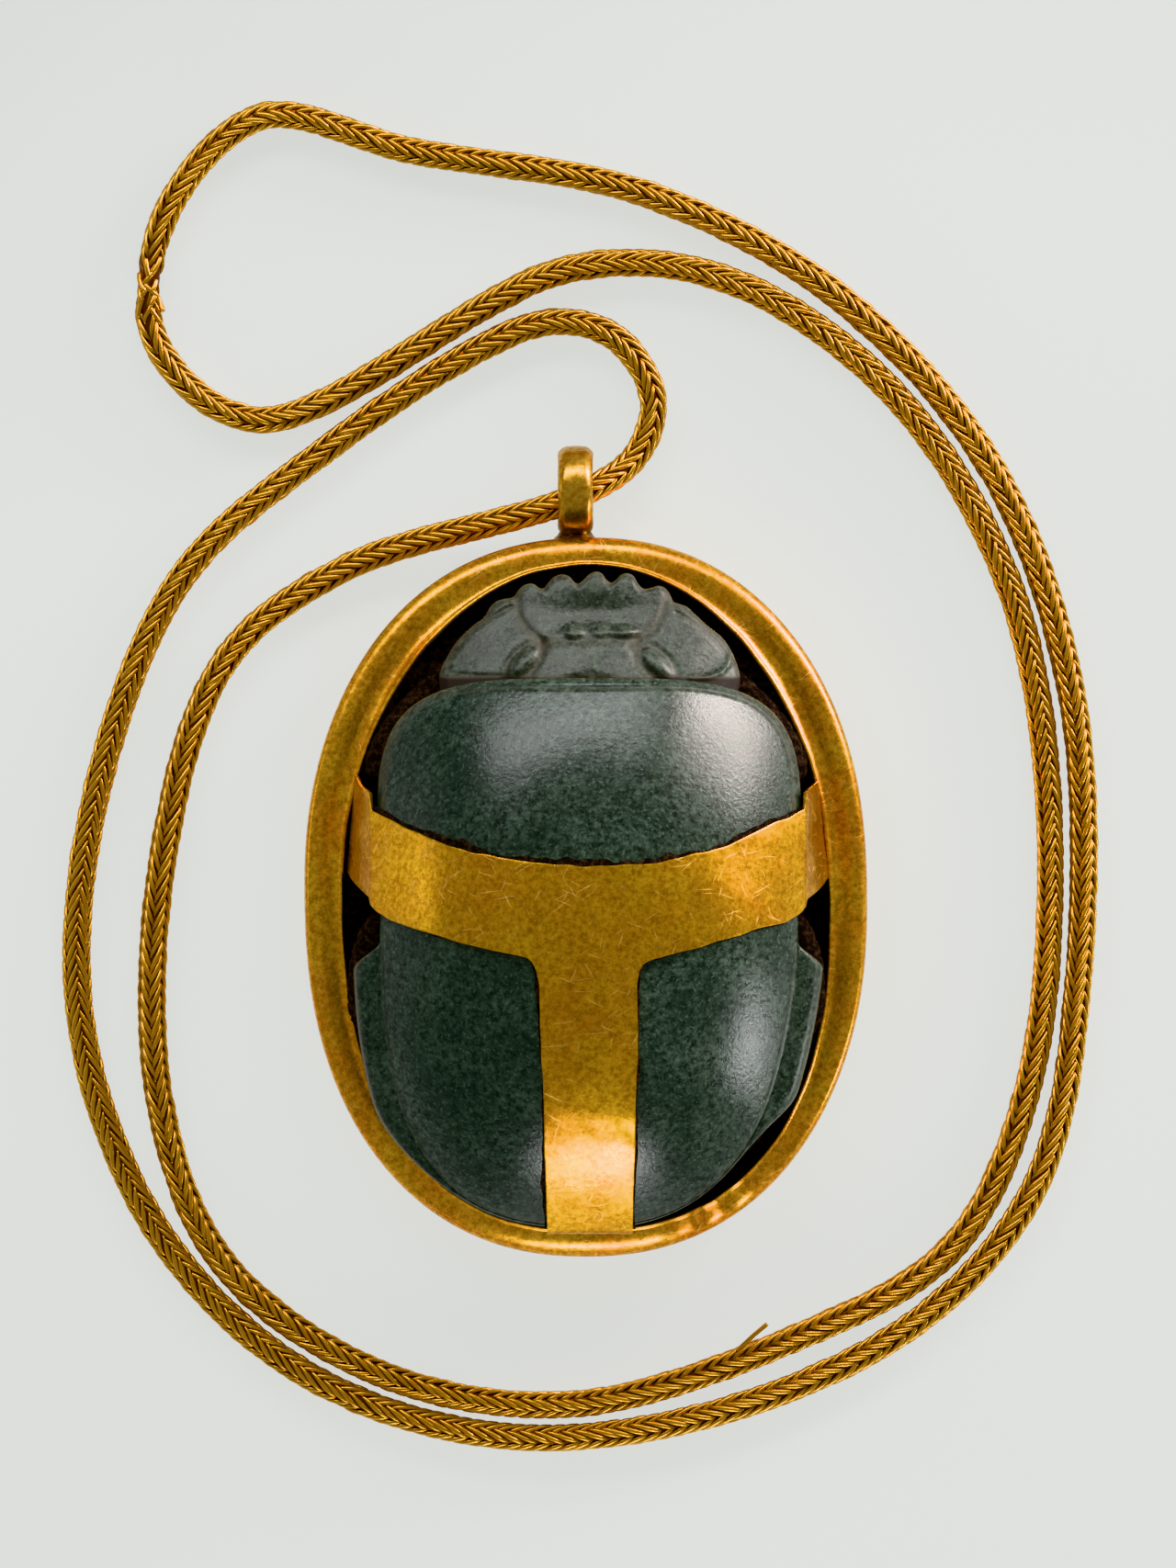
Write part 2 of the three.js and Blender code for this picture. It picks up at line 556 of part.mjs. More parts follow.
// The origin lies under the middle of the amulet with its ring, without the chain
const ringReach = CLEARANCE + 2 * RING_RADIUS - RING_BEVEL / 2;
const amulet = new THREE.Group();
amulet.position.y = -ringReach / 2;

const pieces = [
  ['scarab_stone', geometryOf(stoneSolid()), greenStone],
  ['gold_mount', geometryOf(mountSolid()), mountGold],
  ['gold_strap', geometryOf(strapSolid()), strapGold],
  ['suspension_ring', geometryOf(ringSolid()), ringGold],
  ['woven_chain', chainGeometry(), chainGold],
];
for (const [name, geometry, material] of pieces) {
  const mesh = new THREE.Mesh(geometry, material);
  mesh.name = name;
  amulet.add(mesh);
}

const model = new THREE.Group();
model.add(amulet);

export default model;
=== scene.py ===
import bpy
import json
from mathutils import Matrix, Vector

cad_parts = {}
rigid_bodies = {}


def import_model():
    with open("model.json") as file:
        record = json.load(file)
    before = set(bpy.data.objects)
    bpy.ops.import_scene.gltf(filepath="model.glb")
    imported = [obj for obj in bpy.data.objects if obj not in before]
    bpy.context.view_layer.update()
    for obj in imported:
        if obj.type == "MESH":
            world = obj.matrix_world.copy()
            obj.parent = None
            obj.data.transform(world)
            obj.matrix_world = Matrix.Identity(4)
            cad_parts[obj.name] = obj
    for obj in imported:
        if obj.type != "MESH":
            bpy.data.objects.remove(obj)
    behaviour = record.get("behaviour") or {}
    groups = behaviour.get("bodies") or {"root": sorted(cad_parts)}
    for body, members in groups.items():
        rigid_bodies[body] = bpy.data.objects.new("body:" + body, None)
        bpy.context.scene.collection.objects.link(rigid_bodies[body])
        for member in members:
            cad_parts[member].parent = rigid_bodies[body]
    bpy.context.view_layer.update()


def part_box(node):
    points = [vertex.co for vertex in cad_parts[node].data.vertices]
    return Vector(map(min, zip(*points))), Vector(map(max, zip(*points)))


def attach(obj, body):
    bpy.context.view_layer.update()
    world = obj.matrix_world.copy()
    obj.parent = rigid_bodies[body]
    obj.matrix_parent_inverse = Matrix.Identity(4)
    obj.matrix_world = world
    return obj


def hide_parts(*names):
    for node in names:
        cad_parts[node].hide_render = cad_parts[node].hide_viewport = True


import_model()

import json
import math

import bpy
import numpy as np
from mathutils import Quaternion, Vector

# Light table, soft boxes and camera
# The amulet lies on a pale diffusing light table in front of a camera that looks straight down.
# A low soft box at the right models it, with weaker ones at the head, the foot and the left.

mm = 0.001
mount_low, mount_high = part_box("gold_mount")
mount_y = (mount_low[1] + mount_high[1]) / 2


def linear(hex_colour):
    parts = [int(hex_colour[i:i + 2], 16) / 255 for i in (1, 3, 5)]
    return [c / 12.92 if c <= 0.04045 else ((c + 0.055) / 1.055) ** 2.4 for c in parts] + [1.0]


def add_node(tree, kind, inputs=None, **settings):
    node = tree.nodes.new(kind)
    for name, value in settings.items():
        setattr(node, name, value)
    for name, value in (inputs or {}).items():
        if isinstance(value, bpy.types.NodeSocket):
            tree.links.new(value, node.inputs[name])
        else:
            node.inputs[name].default_value = value
    return node


def new_material(name):
    material = bpy.data.materials.new(name)
    material.use_nodes = True
    tree = material.node_tree
    tree.nodes.clear()
    surface = add_node(tree, "ShaderNodeBsdfPrincipled")
    add_node(tree, "ShaderNodeOutputMaterial", {"Surface": surface.outputs[0]})
    return material, tree, surface


def spread(tree, value, low, high, bottom=0.0, top=1.0, **settings):
    """The value with its stretch from low to high laid out from bottom to top."""
    node = add_node(tree, "ShaderNodeMapRange", {
        "Value": value, "From Min": low, "From Max": high, "To Min": bottom, "To Max": top}, **settings)
    return node.outputs["Result"]


def blend(tree, share, first, second):
    """The first colour where the share is 0, going over to the second where it is 1."""
    first, second = (linear(c) if isinstance(c, str) else c for c in (first, second))
    mix = add_node(tree, "ShaderNodeMix", {"Factor": share, "A": first, "B": second}, data_type="RGBA")
    return mix.outputs["Result"]


CAMERA_HEIGHT = 900 * mm
RIM_HEIGHT = 8 * mm
VIEW_LENGTH = 143.56 * mm         # what the photo's long side covers at the mount's rim
VIEW_MIDDLE = (0.2 * mm, 10.4 * mm)
SENSOR = 36.0
ROOM_LIGHT = 0.37
TABLE_GLOW = 0.77

bpy.ops.object.camera_add(location=(VIEW_MIDDLE[0], VIEW_MIDDLE[1] + mount_y, CAMERA_HEIGHT),
                          rotation=(0, 0, 0))
camera = bpy.context.object
camera.data.sensor_width = SENSOR
camera.data.lens = SENSOR * (CAMERA_HEIGHT - RIM_HEIGHT) / VIEW_LENGTH
bpy.context.scene.camera = camera
bpy.context.scene.view_settings.view_transform = "Khronos PBR Neutral"

SOFT_BOX_DISTANCE = 0.6
SOFT_BOXES = [                    # degrees round, up and tilted, width and height, watts, colour
    (36, 12, 27, 0.34, 0.08, 5.0, "#fff2ee"),
    (-23, 4, 0, 0.04, 0.06, 0.58, "#ffffff"),
    (101, 37, 0, 0.75, 0.13, 2.7, "#ffffff"),
    (-84, 14, 0, 0.26, 0.11, 1.4, "#ffffff"),
    (172, 6, 0, 0.2, 0.16, 0.11, "#ffffff"),
]
for turn, lift, tilt, wide, high, power, colour in SOFT_BOXES:
    turn, lift = math.radians(turn), math.radians(lift)
    away = Vector((math.cos(turn) * math.cos(lift), math.sin(turn) * math.cos(lift), math.sin(lift)))
    bpy.ops.object.light_add(type="AREA", location=away * SOFT_BOX_DISTANCE)
    soft_box = bpy.context.object
    soft_box.data.shape = "RECTANGLE"
    soft_box.data.size = wide
    soft_box.data.size_y = high
    soft_box.data.energy = power
    soft_box.data.color = linear(colour)[:3]
    tilted = Quaternion((0, 0, 1), math.radians(tilt))
    soft_box.rotation_euler = (away.to_track_quat("Z", "Y") @ tilted).to_euler()

world = bpy.data.worlds.new("studio")
bpy.context.scene.world = world
world.use_nodes = True
world.node_tree.nodes["Background"].inputs["Color"].default_value = linear("#f6f5f2")
world.node_tree.nodes["Background"].inputs["Strength"].default_value = ROOM_LIGHT

bpy.ops.object.select_all(action="DESELECT")
bpy.ops.mesh.primitive_plane_add(size=3.0, location=(0, 0, -0.02 * mm))
table = bpy.context.object
table.name = "light_table"
# Opal glass lit from below: it keeps the table white and drowns nearly all of the shadows
opal_glass, tree, surface = new_material("lit_opal_glass")
surface.inputs["Base Color"].default_value = linear("#4d4f4e")
surface.inputs["Roughness"].default_value = 0.8
BRIGHTEST = (25 * mm, -35 * mm, 0)
place = add_node(tree, "ShaderNodeTexCoord").outputs["Object"]
from_middle = add_node(tree, "ShaderNodeVectorMath", {0: place, 1: BRIGHTEST}, operation="DISTANCE")
lit_part = spread(tree, from_middle.outputs["Value"], 0.09, 0.33, 1.0, 0.0,
                  interpolation_type="SMOOTHSTEP")
glow = blend(tree, lit_part, "#7c7f7c", "#f3f5f2")
tree.links.new(glow, surface.inputs["Emission Color"])
surface.inputs["Emission Strength"].default_value = TABLE_GLOW
table.data.materials.append(opal_glass)

# Woven chain
# An endless loop-in-loop chain of fine gold wire, knitted so that doubled limbs lean left and
# right in six rows round a hollow; its ends meet in a rough splice and one wire end is loose.
# Its limbs are set out point by point along the route, as each one leans and dives into the weave.

CHAIN_DIAMETER = 2.7 * mm
CHAIN_LIFT = 3.7 * mm             # height of the chain's middle where it crosses the ring
CHAIN_REST = 0.13 * mm
STITCH = 1.27 * mm
LIMB_ROWS = 6
LIMB_LENGTH = 3.7 * mm
LIMB_LEAN = math.radians(23.5)
LIMB_HALF_WIDTH = 0.255 * mm
LIMB_HALF_HEIGHT = 0.27 * mm
WOVEN_IN = 0.75 * mm              # from the chain's middle to where a limb vanishes in the weave
WIRE_RADIUS = 0.24 * mm
LOOSE_WIRE_RADIUS = 0.2 * mm
WIRE_SIDES = 10
CHAIN_ROUTE = [
    (-1.0, 36.8), (4.7, 40.8), (6.2, 45.9), (2.8, 51.5), (-3.9, 52.9), (-26.2, 39.6), (-37.9, 28.5),
    (-45.8, 6.3), (-46.3, -13.2), (-39.0, -31.5), (-25.8, -44.0), (-7.8, -49.7), (12.0, -47.6),
    (30.9, -38.9), (41.6, -26.3), (45.6, -4.8), (44.5, 20.2), (37.0, 40.2), (23.1, 55.5), (5.3, 64.9),
    (-16.1, 68.8), (-30.0, 71.9), (-38.8, 62.8), (-39.6, 51.1), (-30.4, 44.0), (-1.5, 57.9),
    (12.8, 57.0), (28.1, 46.7), (38.7, 29.6), (42.6, 9.8), (40.9, -17.1), (33.8, -32.3),
    (19.3, -40.7), (-1.6, -46.8), (-19.1, -43.9), (-33.4, -33.8), (-39.2, -19.3), (-39.1, 2.9),
    (-33.3, 21.7), (-22.2, 30.3),
]
chance = np.random.default_rng(7)


def through_points(points, steps):
    """A smooth closed line through the points, eased where they stand close (centripetal)."""
    line = []
    for i in range(len(points)):
        p0, p1, p2, p3 = (np.array(points[(i + k) % len(points)]) for k in (-1, 0, 1, 2))
        d0, d1, d2 = (math.sqrt(np.linalg.norm(b - a)) for a, b in ((p0, p1), (p1, p2), (p2, p3)))
        m1 = ((p1 - p0) / d0 - (p2 - p0) / (d0 + d1) + (p2 - p1) / d1) * d1
        m2 = ((p2 - p1) / d1 - (p3 - p1) / (d1 + d2) + (p3 - p2) / d2) * d1
        for t in np.arange(steps) / steps:
            line.append(p1 + m1 * t + (3 * (p2 - p1) - 2 * m1 - m2) * t**2
                        + (2 * (p1 - p2) + m1 + m2) * t**3)
    return np.array(line)


rest = CHAIN_DIAMETER / 2 + CHAIN_REST
heights = [CHAIN_LIFT] + [rest] * (len(CHAIN_ROUTE) - 1)
route = [(x * mm, y * mm + mount_y, z) for (x, y), z in zip(CHAIN_ROUTE, heights)]
dense = through_points(route, 60)
loop = np.vstack([dense, dense[:1]])
reach = np.concatenate([[0], np.cumsum(np.linalg.norm(np.diff(loop, axis=0), axis=1))])
chain_length = reach[-1]


def unit(directions):
    return directions / np.linalg.norm(directions, axis=-1, keepdims=True)


def round_line(angle, beside, above):
    """Direction at an angle round a line, turning from its side to its top."""
    return np.cos(angle)[..., None] * beside + np.sin(angle)[..., None] * above


def along_chain(distance):
    """Points on the chain's middle line and the directions along, beside and above it."""
    wrapped = np.mod(distance, chain_length)
    step = 0.4 * mm
    places = [np.mod(wrapped + d, chain_length) for d in (-step, 0, step)]
    place = [np.stack([np.interp(p, reach, loop[:, k]) for k in range(3)], -1) for p in places]
    ahead = unit(place[2] - place[0])
    beside = unit(np.cross(ahead, [0, 0, 1]))
    return place[1], ahead, beside, np.cross(beside, ahead)


def numbered(rows, columns, start=0):
    """Point numbers of a grid, row by row."""
    return start + np.arange(rows * columns).reshape(rows, columns)


def grid_faces(number):
    """Four-sided faces over a grid of point numbers."""
    quads = np.stack([number[:-1, :-1], number[1:, :-1], number[1:, 1:], number[:-1, 1:]], -1)
    return quads.reshape(-1, 4).tolist()


def tube_faces(number):
    """Faces over rings of point numbers, each ring closed on itself."""
    return grid_faces(np.hstack([number, number[:, :1]]))


def mesh_piece(name, points, faces, material):
    mesh = bpy.data.meshes.new(name)
    mesh.from_pydata([tuple(p) for p in points], [], faces)
    mesh.validate()
    mesh.shade_smooth()
    mesh.materials.append(material)
    piece = bpy.data.objects.new(name, mesh)
    bpy.context.collection.objects.link(piece)
    return piece


def give_attribute(piece, name, values):
    layer = piece.data.attributes.new(name, "FLOAT", "POINT")
    layer.data.foreach_set("value", np.asarray(values, dtype=np.float32).ravel())


def noise(tree, place, size, detail=2.0, roughness=0.5):
    """Cloudy noise whose largest clouds are about as wide as the size in mm."""
    return add_node(tree, "ShaderNodeTexNoise", {
        "Vector": place, "Scale": 1 / (size * mm), "Detail": detail, "Roughness": roughness}).outputs["Fac"]


# Drawn gold wire in its plain gold on the crowns, with painted shade: dark brown between the limbs, deepest
# where a limb dives into the weave
drawn_gold, tree, surface = new_material("drawn_gold_wire")
crown = add_node(tree, "ShaderNodeAttribute", attribute_name="crown").outputs["Fac"]
place = add_node(tree, "ShaderNodeTexCoord").outputs["Object"]
plain_gold = blend(tree, noise(tree, place, 3), "#e4b352", "#cb9236")
# painted shade: the lower a point lies in the weave, the more of the dark brown it takes
shaded_in_weave = blend(tree, spread(tree, crown, 0.35, 0.85), "#6a3405", plain_gold)
tree.links.new(shaded_in_weave, surface.inputs["Base Color"])
surface.inputs["Metallic"].default_value = 1.0
surface.inputs["Roughness"].default_value = 0.3


def cut(distance, width):
    """A soft notch: 1 on a line or point, falling away over the width."""
    return np.exp(-(distance / width) ** 2)


def closed_tube(path, thickness, sides):
    """A round wire along the path, blunt and slightly rounded at both ends."""
    path = np.asarray(path, dtype=float)
    ahead = unit(np.gradient(path, axis=0))
    caps = [(0.4, 0.6), (0.75, 0.4), (0.95, 0.15)]
    rows = [(0, share, -out) for share, out in caps]
    rows += [(i, 1.0, 0.0) for i in range(len(path))]
    rows += [(len(path) - 1, share, out) for share, out in reversed(caps)]
    turns = np.arange(sides) / sides * 2 * math.pi
    rings = []
    for i, share, out in rows:
        beside = np.cross(ahead[i], [0.0, 0.0, 1.0])
        beside /= np.linalg.norm(beside) + 1e-12
        above = np.cross(beside, ahead[i])
        middle = path[i] + ahead[i] * thickness * out
        rings.append(middle + thickness * share * round_line(turns, beside, above))
    number = numbered(len(rings), sides)
    faces = [number[0].tolist(), number[-1, ::-1].tolist()] + tube_faces(number)
    return np.vstack(rings), faces


SPLICE_PLACE = (-40.0 * mm, 56.3 * mm)
from_splice = np.hypot(loop[:, 0] - SPLICE_PLACE[0], loop[:, 1] - SPLICE_PLACE[1] - mount_y)
splice = reach[int(np.argmin(from_splice))]

LIMB_SECTION = np.array([
    (-1, -0.2), (-0.88, 0.45), (-0.5, 0.86), (0, 1.0), (0.5, 0.86), (0.88, 0.45), (1, -0.2), (0, -0.9),
])
LIMB_RINGS = np.array([-1, -0.8, -0.55, -0.2, 0.2, 0.55, 0.8, 1])
stitches = round(chain_length / STITCH)


def woven_limbs(first, last):
    """Points, faces and heights of the limbs of the stitches from first to last."""
    count = (last - first) * LIMB_ROWS
    number = np.repeat(np.arange(first, last), LIMB_ROWS)
    row = np.tile(np.arange(LIMB_ROWS), last - first)
    lean = np.where(row % 2 == 0, 1, -1)
    stagger = row // 2 / 3
    middle = (number + stagger) * chain_length / stitches + chance.normal(0, 0.05 * mm, count)
    twist = 0.3 * np.sin(2 * np.pi * 4 * middle / chain_length + 1) + math.pi / 8
    turn = row * 2 * math.pi / LIMB_ROWS + twist + chance.normal(0, 0.03, count)
    loose = cut((middle - splice) / mm, 2.6)
    size = chance.normal(1, 0.05, count) * (1 - 0.2 * loose)
    angle = LIMB_LEAN * chance.normal(1, 0.06, count) + 0.3 * loose * chance.normal(0, 1, count)
    turn = turn + 0.2 * loose * chance.normal(0, 1, count)
    length = LIMB_LENGTH * (1 - 0.3 * loose)
    t = LIMB_RINGS[None, :, None]
    wide = LIMB_SECTION[None, None, :, 0] * LIMB_HALF_WIDTH * size[:, None, None] * (1 - 0.3 * t**4)
    tall = LIMB_SECTION[None, None, :, 1] * LIMB_HALF_HEIGHT * size[:, None, None]
    dive = np.where(t > 0, 0.5 * mm * np.abs(t)**3, 0.34 * mm * np.abs(t)**2.5)
    radius = CHAIN_DIAMETER / 2 - LIMB_HALF_HEIGHT - 0.02 * mm - dive + tall
    stray = (0.02 + 0.1 * loose) * mm * chance.normal(0, 1, count) - 0.22 * mm * loose
    radius = radius + stray[:, None, None]
    run = t * length[:, None, None] / 2
    sin, cos = np.sin(angle)[:, None, None], np.cos(angle)[:, None, None]
    side = lean[:, None, None]
    distance = middle[:, None, None] + run * cos - side * wide * sin
    round_angle = turn[:, None, None] + (side * run * sin + wide * cos) / (CHAIN_DIAMETER / 2 * 0.85)
    point, ahead, beside, above = along_chain(distance)
    points = point + radius[..., None] * round_line(round_angle, beside, above)
    rings, around = len(LIMB_RINGS), len(LIMB_SECTION)
    base = (np.arange(count) * rings * around)[:, None]
    quads = np.array(tube_faces(numbered(rings, around)))
    faces = (base[:, :, None] + quads[None]).reshape(-1, 4).tolist()
    faces += (base + np.arange(around)).tolist()
    faces += (base + (rings - 1) * around + np.arange(around)[::-1]).tolist()
    heights = (radius - WOVEN_IN) / (CHAIN_DIAMETER / 2 - WOVEN_IN)
    return points.reshape(-1, 3), faces, heights.ravel()


for part in range(3):
    points, faces, heights = woven_limbs(part * stitches // 3, (part + 1) * stitches // 3)
    limbs = mesh_piece(f"chain_limbs_{part + 1}", points, faces, drawn_gold)
    give_attribute(limbs, "crown", heights)
    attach(limbs, "root")

# the splice's blunt wire ends, and one end that has sprung loose from the inner strand
SPLICE_ENDS = [                   # along the chain, degrees round, swing, lift at its tip, length
    (-2.2, 62, 30, 0.02, 1.5), (-1.4, 118, -45, 0.04, 1.3), (-0.9, 25, 50, 0.1, 1.5),
    (0.2, 88, -40, 0.06, 1.4), (0.7, 135, -30, 0.02, 1.2), (1.3, 60, -25, 0.08, 1.5),
    (1.2, 172, -14, 0.36, 1.3), (-2.6, 140, -30, 0.02, 1.4), (2.2, 102, 40, 0.04, 1.5),
    (0.0, 70, 70, 0.08, 1.1), (-0.4, 134, -20, 0.1, 0.9), (0.5, 40, 20, 0.1, 0.8),
]
wires = []
for along, around, swing, lift, length in SPLICE_ENDS:
    t = np.linspace(0, 1, 9)
    point, ahead, beside, above = along_chain(splice + (along + length * t) * mm)
    out = (0.98 + 0.12 * np.sin(math.pi * t * 0.7) + lift * t**2)[:, None] * mm
    path = point + out * round_line(np.radians(around + swing * t), beside, above)
    wires.append(closed_tube(path, WIRE_RADIUS, WIRE_SIDES))
LOOSE_END = [
    (14.0, -41.75, 2.2), (14.8, -41.0, 2.35), (15.5, -40.35, 2.4), (16.1, -39.85, 2.4),
    (16.65, -39.4, 2.35),
]
loose_path = np.array(LOOSE_END) * mm + [0, mount_y, 0]
wires.append(closed_tube(loose_path, LOOSE_WIRE_RADIUS, WIRE_SIDES))
points, faces = [], []
for wire_points, wire_faces in wires:
    start = sum(len(p) for p in points)
    faces += [tuple(start + k for k in face) for face in wire_faces]
    points.append(wire_points)
ends = mesh_piece("chain_wire_ends", np.vstack(points), faces, drawn_gold)
give_attribute(ends, "crown", np.full(sum(len(p) for p in points), 0.8))
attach(ends, "root")

# The bends of the loops fill the chain's inside, seen only between the limbs as dark gold, painted wholly
# dark brown as shade
CORE_RADIUS = 0.97 * mm
core_rings, core_sides = 900, 12
distance = np.arange(core_rings) / core_rings * chain_length
point, ahead, beside, above = along_chain(distance)
turns = np.arange(core_sides) / core_sides * 2 * math.pi
core_points = point[:, None] + CORE_RADIUS * round_line(turns, beside[:, None], above[:, None])
number = numbered(core_rings, core_sides)
core_faces = tube_faces(np.vstack([number, number[:1]]))
core = mesh_piece("chain_core", core_points.reshape(-1, 3), core_faces, drawn_gold)
give_attribute(core, "crown", np.full(core_rings * core_sides, 0.2))
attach(core, "root")
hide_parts("woven_chain")

# Carved scarab
# One block of dark green, faintly speckled stone, cut and ground to a beetle on a flat oval base:
# toothed head shield, cheeks and eyes, smooth chest, domed wing cases, legs in the round below.
# Its surface is made from height functions, since its fine carved lines follow the outlines.

CREST = 26.0
BASE_TOP = 4.6
WING_MIDDLE = (0.3, -3.0)
CHEST_MIDDLE = (0.3, 5.0)
HEAD_MIDDLE = (0.6, 20.0)
CHEST_HALF_WIDTH = 19.3
BACK_MIDDLE = 0.3                 # the line down the middle of chest and wing cases


def out_from(middle, radius, turn):
    """Places at a distance and direction from a middle."""
    return middle[0] + radius * np.cos(turn), middle[1] + radius * np.sin(turn)


def seen_from(middle, x, y):
    """Distance and direction of places from a middle."""
    return np.hypot(x - middle[0], y - middle[1]), np.arctan2(y - middle[1], x - middle[0])


def oval(turn, half_width, half_length, squareness):
    """Reach of an oval in a direction; the greater the squareness, the fuller its corners."""
    return (np.abs(np.cos(turn) / half_width) ** squareness
            + np.abs(np.sin(turn) / half_length) ** squareness) ** (-1 / squareness)


def uneven(x, y, size, seed):
    """Gentle unevenness between -1 and 1, in swells about as long as size."""
    waves = np.random.default_rng(seed)
    total = 0
    for turn, shift, longer in waves.uniform(0, 1, (7, 3)):
        along = x * math.cos(turn * 6.283) + y * math.sin(turn * 6.283)
        total = total + np.sin(6.283 * (along / (size * (0.7 + longer)) + shift))
    return total / 4


def line_distance(x, y, line):
    nearest = np.full(np.shape(x), 1e9)
    for (ax, ay), (bx, by) in zip(line[:-1], line[1:]):
        dx, dy = bx - ax, by - ay
        t = np.clip(((x - ax) * dx + (y - ay) * dy) / (dx * dx + dy * dy), 0, 1)
        nearest = np.minimum(nearest, np.hypot(x - ax - t * dx, y - ay - t * dy))
    return nearest


def smooth_step(value, low, high):
    t = np.clip((value - low) / (high - low), 0, 1)
    return t * t * (3 - 2 * t)


def edge_round(inside, radius):
    """How far a rounded edge lies below the surface, at a distance inside the outline."""
    t = np.clip(1 - inside / radius, 0, 1)
    return radius * (1 - np.sqrt(1 - t * t))


def right_rear(turn):
    """The rear right side, which was cut a little narrower and rounder than the left."""
    return smooth_step(np.cos(turn), 0.05, 0.6) * smooth_step(-np.sin(turn), -0.05, 0.85)


def ridge_reach(turn):
    rear = np.sin(turn) < 0
    even = oval(turn, 19.0, np.where(rear, 26.8, 12.0), np.where(rear, 2.75, 2.4))
    return even - 1.2 * right_rear(turn)


def ridge_height(turn):
    return 16.8 - 2.8 * np.maximum(0, -np.sin(turn)) ** 2


def wing_height(x, y):
    """Height of the domed wing cases inside their ridge."""
    distance, turn = seen_from(WING_MIDDLE, x, y)
    share = distance / ridge_reach(turn)
    edge = ridge_height(turn)
    return edge + (CREST - edge) * (1 - share ** (2.7 - 0.3 * right_rear(turn)))


def chest_height(x, y):
    """Height of the chest, falling gently to the head and steeply to the sides."""
    front = 6.0 * (np.maximum(0, y) / 19.9) ** 2
    back = 1.2 * (np.maximum(0, -y) / 1.5) ** 2
    return CREST - front - back - 10.0 * np.abs((x - BACK_MIDDLE) / CHEST_HALF_WIDTH) ** 2.3


stone_points = []
stone_faces = []
stone_dirt_and_shade = []


def add_shell(rings, dirt_and_shade=1.0):
    """Joins rows of points to one closed skin; dirt_and_shade runs from 0, clean, to 1, near black: low
    values are dirt in the cuts, high values painted shade.
    """
    rings = np.asarray(rings)
    rows, around = rings.shape[:2]
    dirt_and_shade = np.broadcast_to(dirt_and_shade, (rows, around))
    start = sum(len(p) for p in stone_points)
    ends = np.array([rings[0].mean(axis=0), rings[-1].mean(axis=0)])
    stone_points.append(np.vstack([rings.reshape(-1, 3), ends]))
    stone_dirt_and_shade.append(np.concatenate([dirt_and_shade.ravel(), [dirt_and_shade[0].mean(), dirt_and_shade[-1].mean()]]))
    number = numbered(rows, around, start)
    after = np.roll(number, -1, axis=1)
    stone_faces.extend(tube_faces(number))
    first, last = start + rows * around, start + rows * around + 1
    stone_faces.extend(np.stack([np.full(around, first), number[0], after[0]], -1).tolist())
    stone_faces.extend(np.stack([np.full(around, last), after[-1], number[-1]], -1).tolist())


# wing cases: a dome inside an incised ridge line, and a lower margin that starts at the shoulders
turn = (np.arange(340) + 0.5) / 340 * 2 * math.pi
reach_to_ridge = ridge_reach(turn)
below = -np.sin(turn)
margin = smooth_step(below, 0.05, 0.16) * (2.5 - 2.3 * smooth_step(below, 0.62, 0.93))
margin *= 1 - 0.75 * smooth_step(np.cos(turn), 0.1, 0.5) * smooth_step(below, 0.6, 0.85)
shares = np.concatenate([[0.04], np.linspace(0.1, 0.9, 32), np.linspace(0.915, 1.0, 17)])
rings = []
dirt_and_shade = []
for share in shares:
    x, y = out_from(WING_MIDDLE, reach_to_ridge * share, turn)
    inside = reach_to_ridge * (1 - share)
    line = cut(inside - 0.22, 0.13)
    z = wing_height(x, y) - 0.14 * line + 0.05 * uneven(x, y, 9, 3) - edge_round(inside, 0.12)
    seam = cut(x - 0.4, 0.12) * smooth_step(share, 0.0, 0.1)
    rings.append(np.stack([x, y, z - 0.12 * seam], -1))
    dirt_and_shade.append(0.3 * line + 0.6 * seam)
for step, fall in ((0.06, 0.16), (0.15, 0.3), (0.4, 0.5), (0.65, 0.75), (0.82, 1.1), (0.92, 1.6),
                   (0.98, 2.3), (1.0, 3.4), (1.0, 4.6), (0.8, 5.6), (0.2, 6.4), (-0.8, 7.2)):
    part = margin * step
    radius = reach_to_ridge + part if step > 0 else reach_to_ridge - 0.8
    x, y = out_from(WING_MIDDLE, radius, turn)
    falls = fall * np.where(fall < 3, np.maximum(margin / 2.5, 0.3), 1)
    z = np.maximum(ridge_height(turn) - falls, BASE_TOP + 0.5)
    rings.append(np.stack([x, y, z], -1))
    # painted shade: the margin darkens the further it falls below the ridge, into the gap by the mount
    dirt_and_shade.append(np.clip((fall - 3.2) / 3, 0.12, 1) * np.ones(len(turn)))
add_shell(rings, dirt_and_shade)

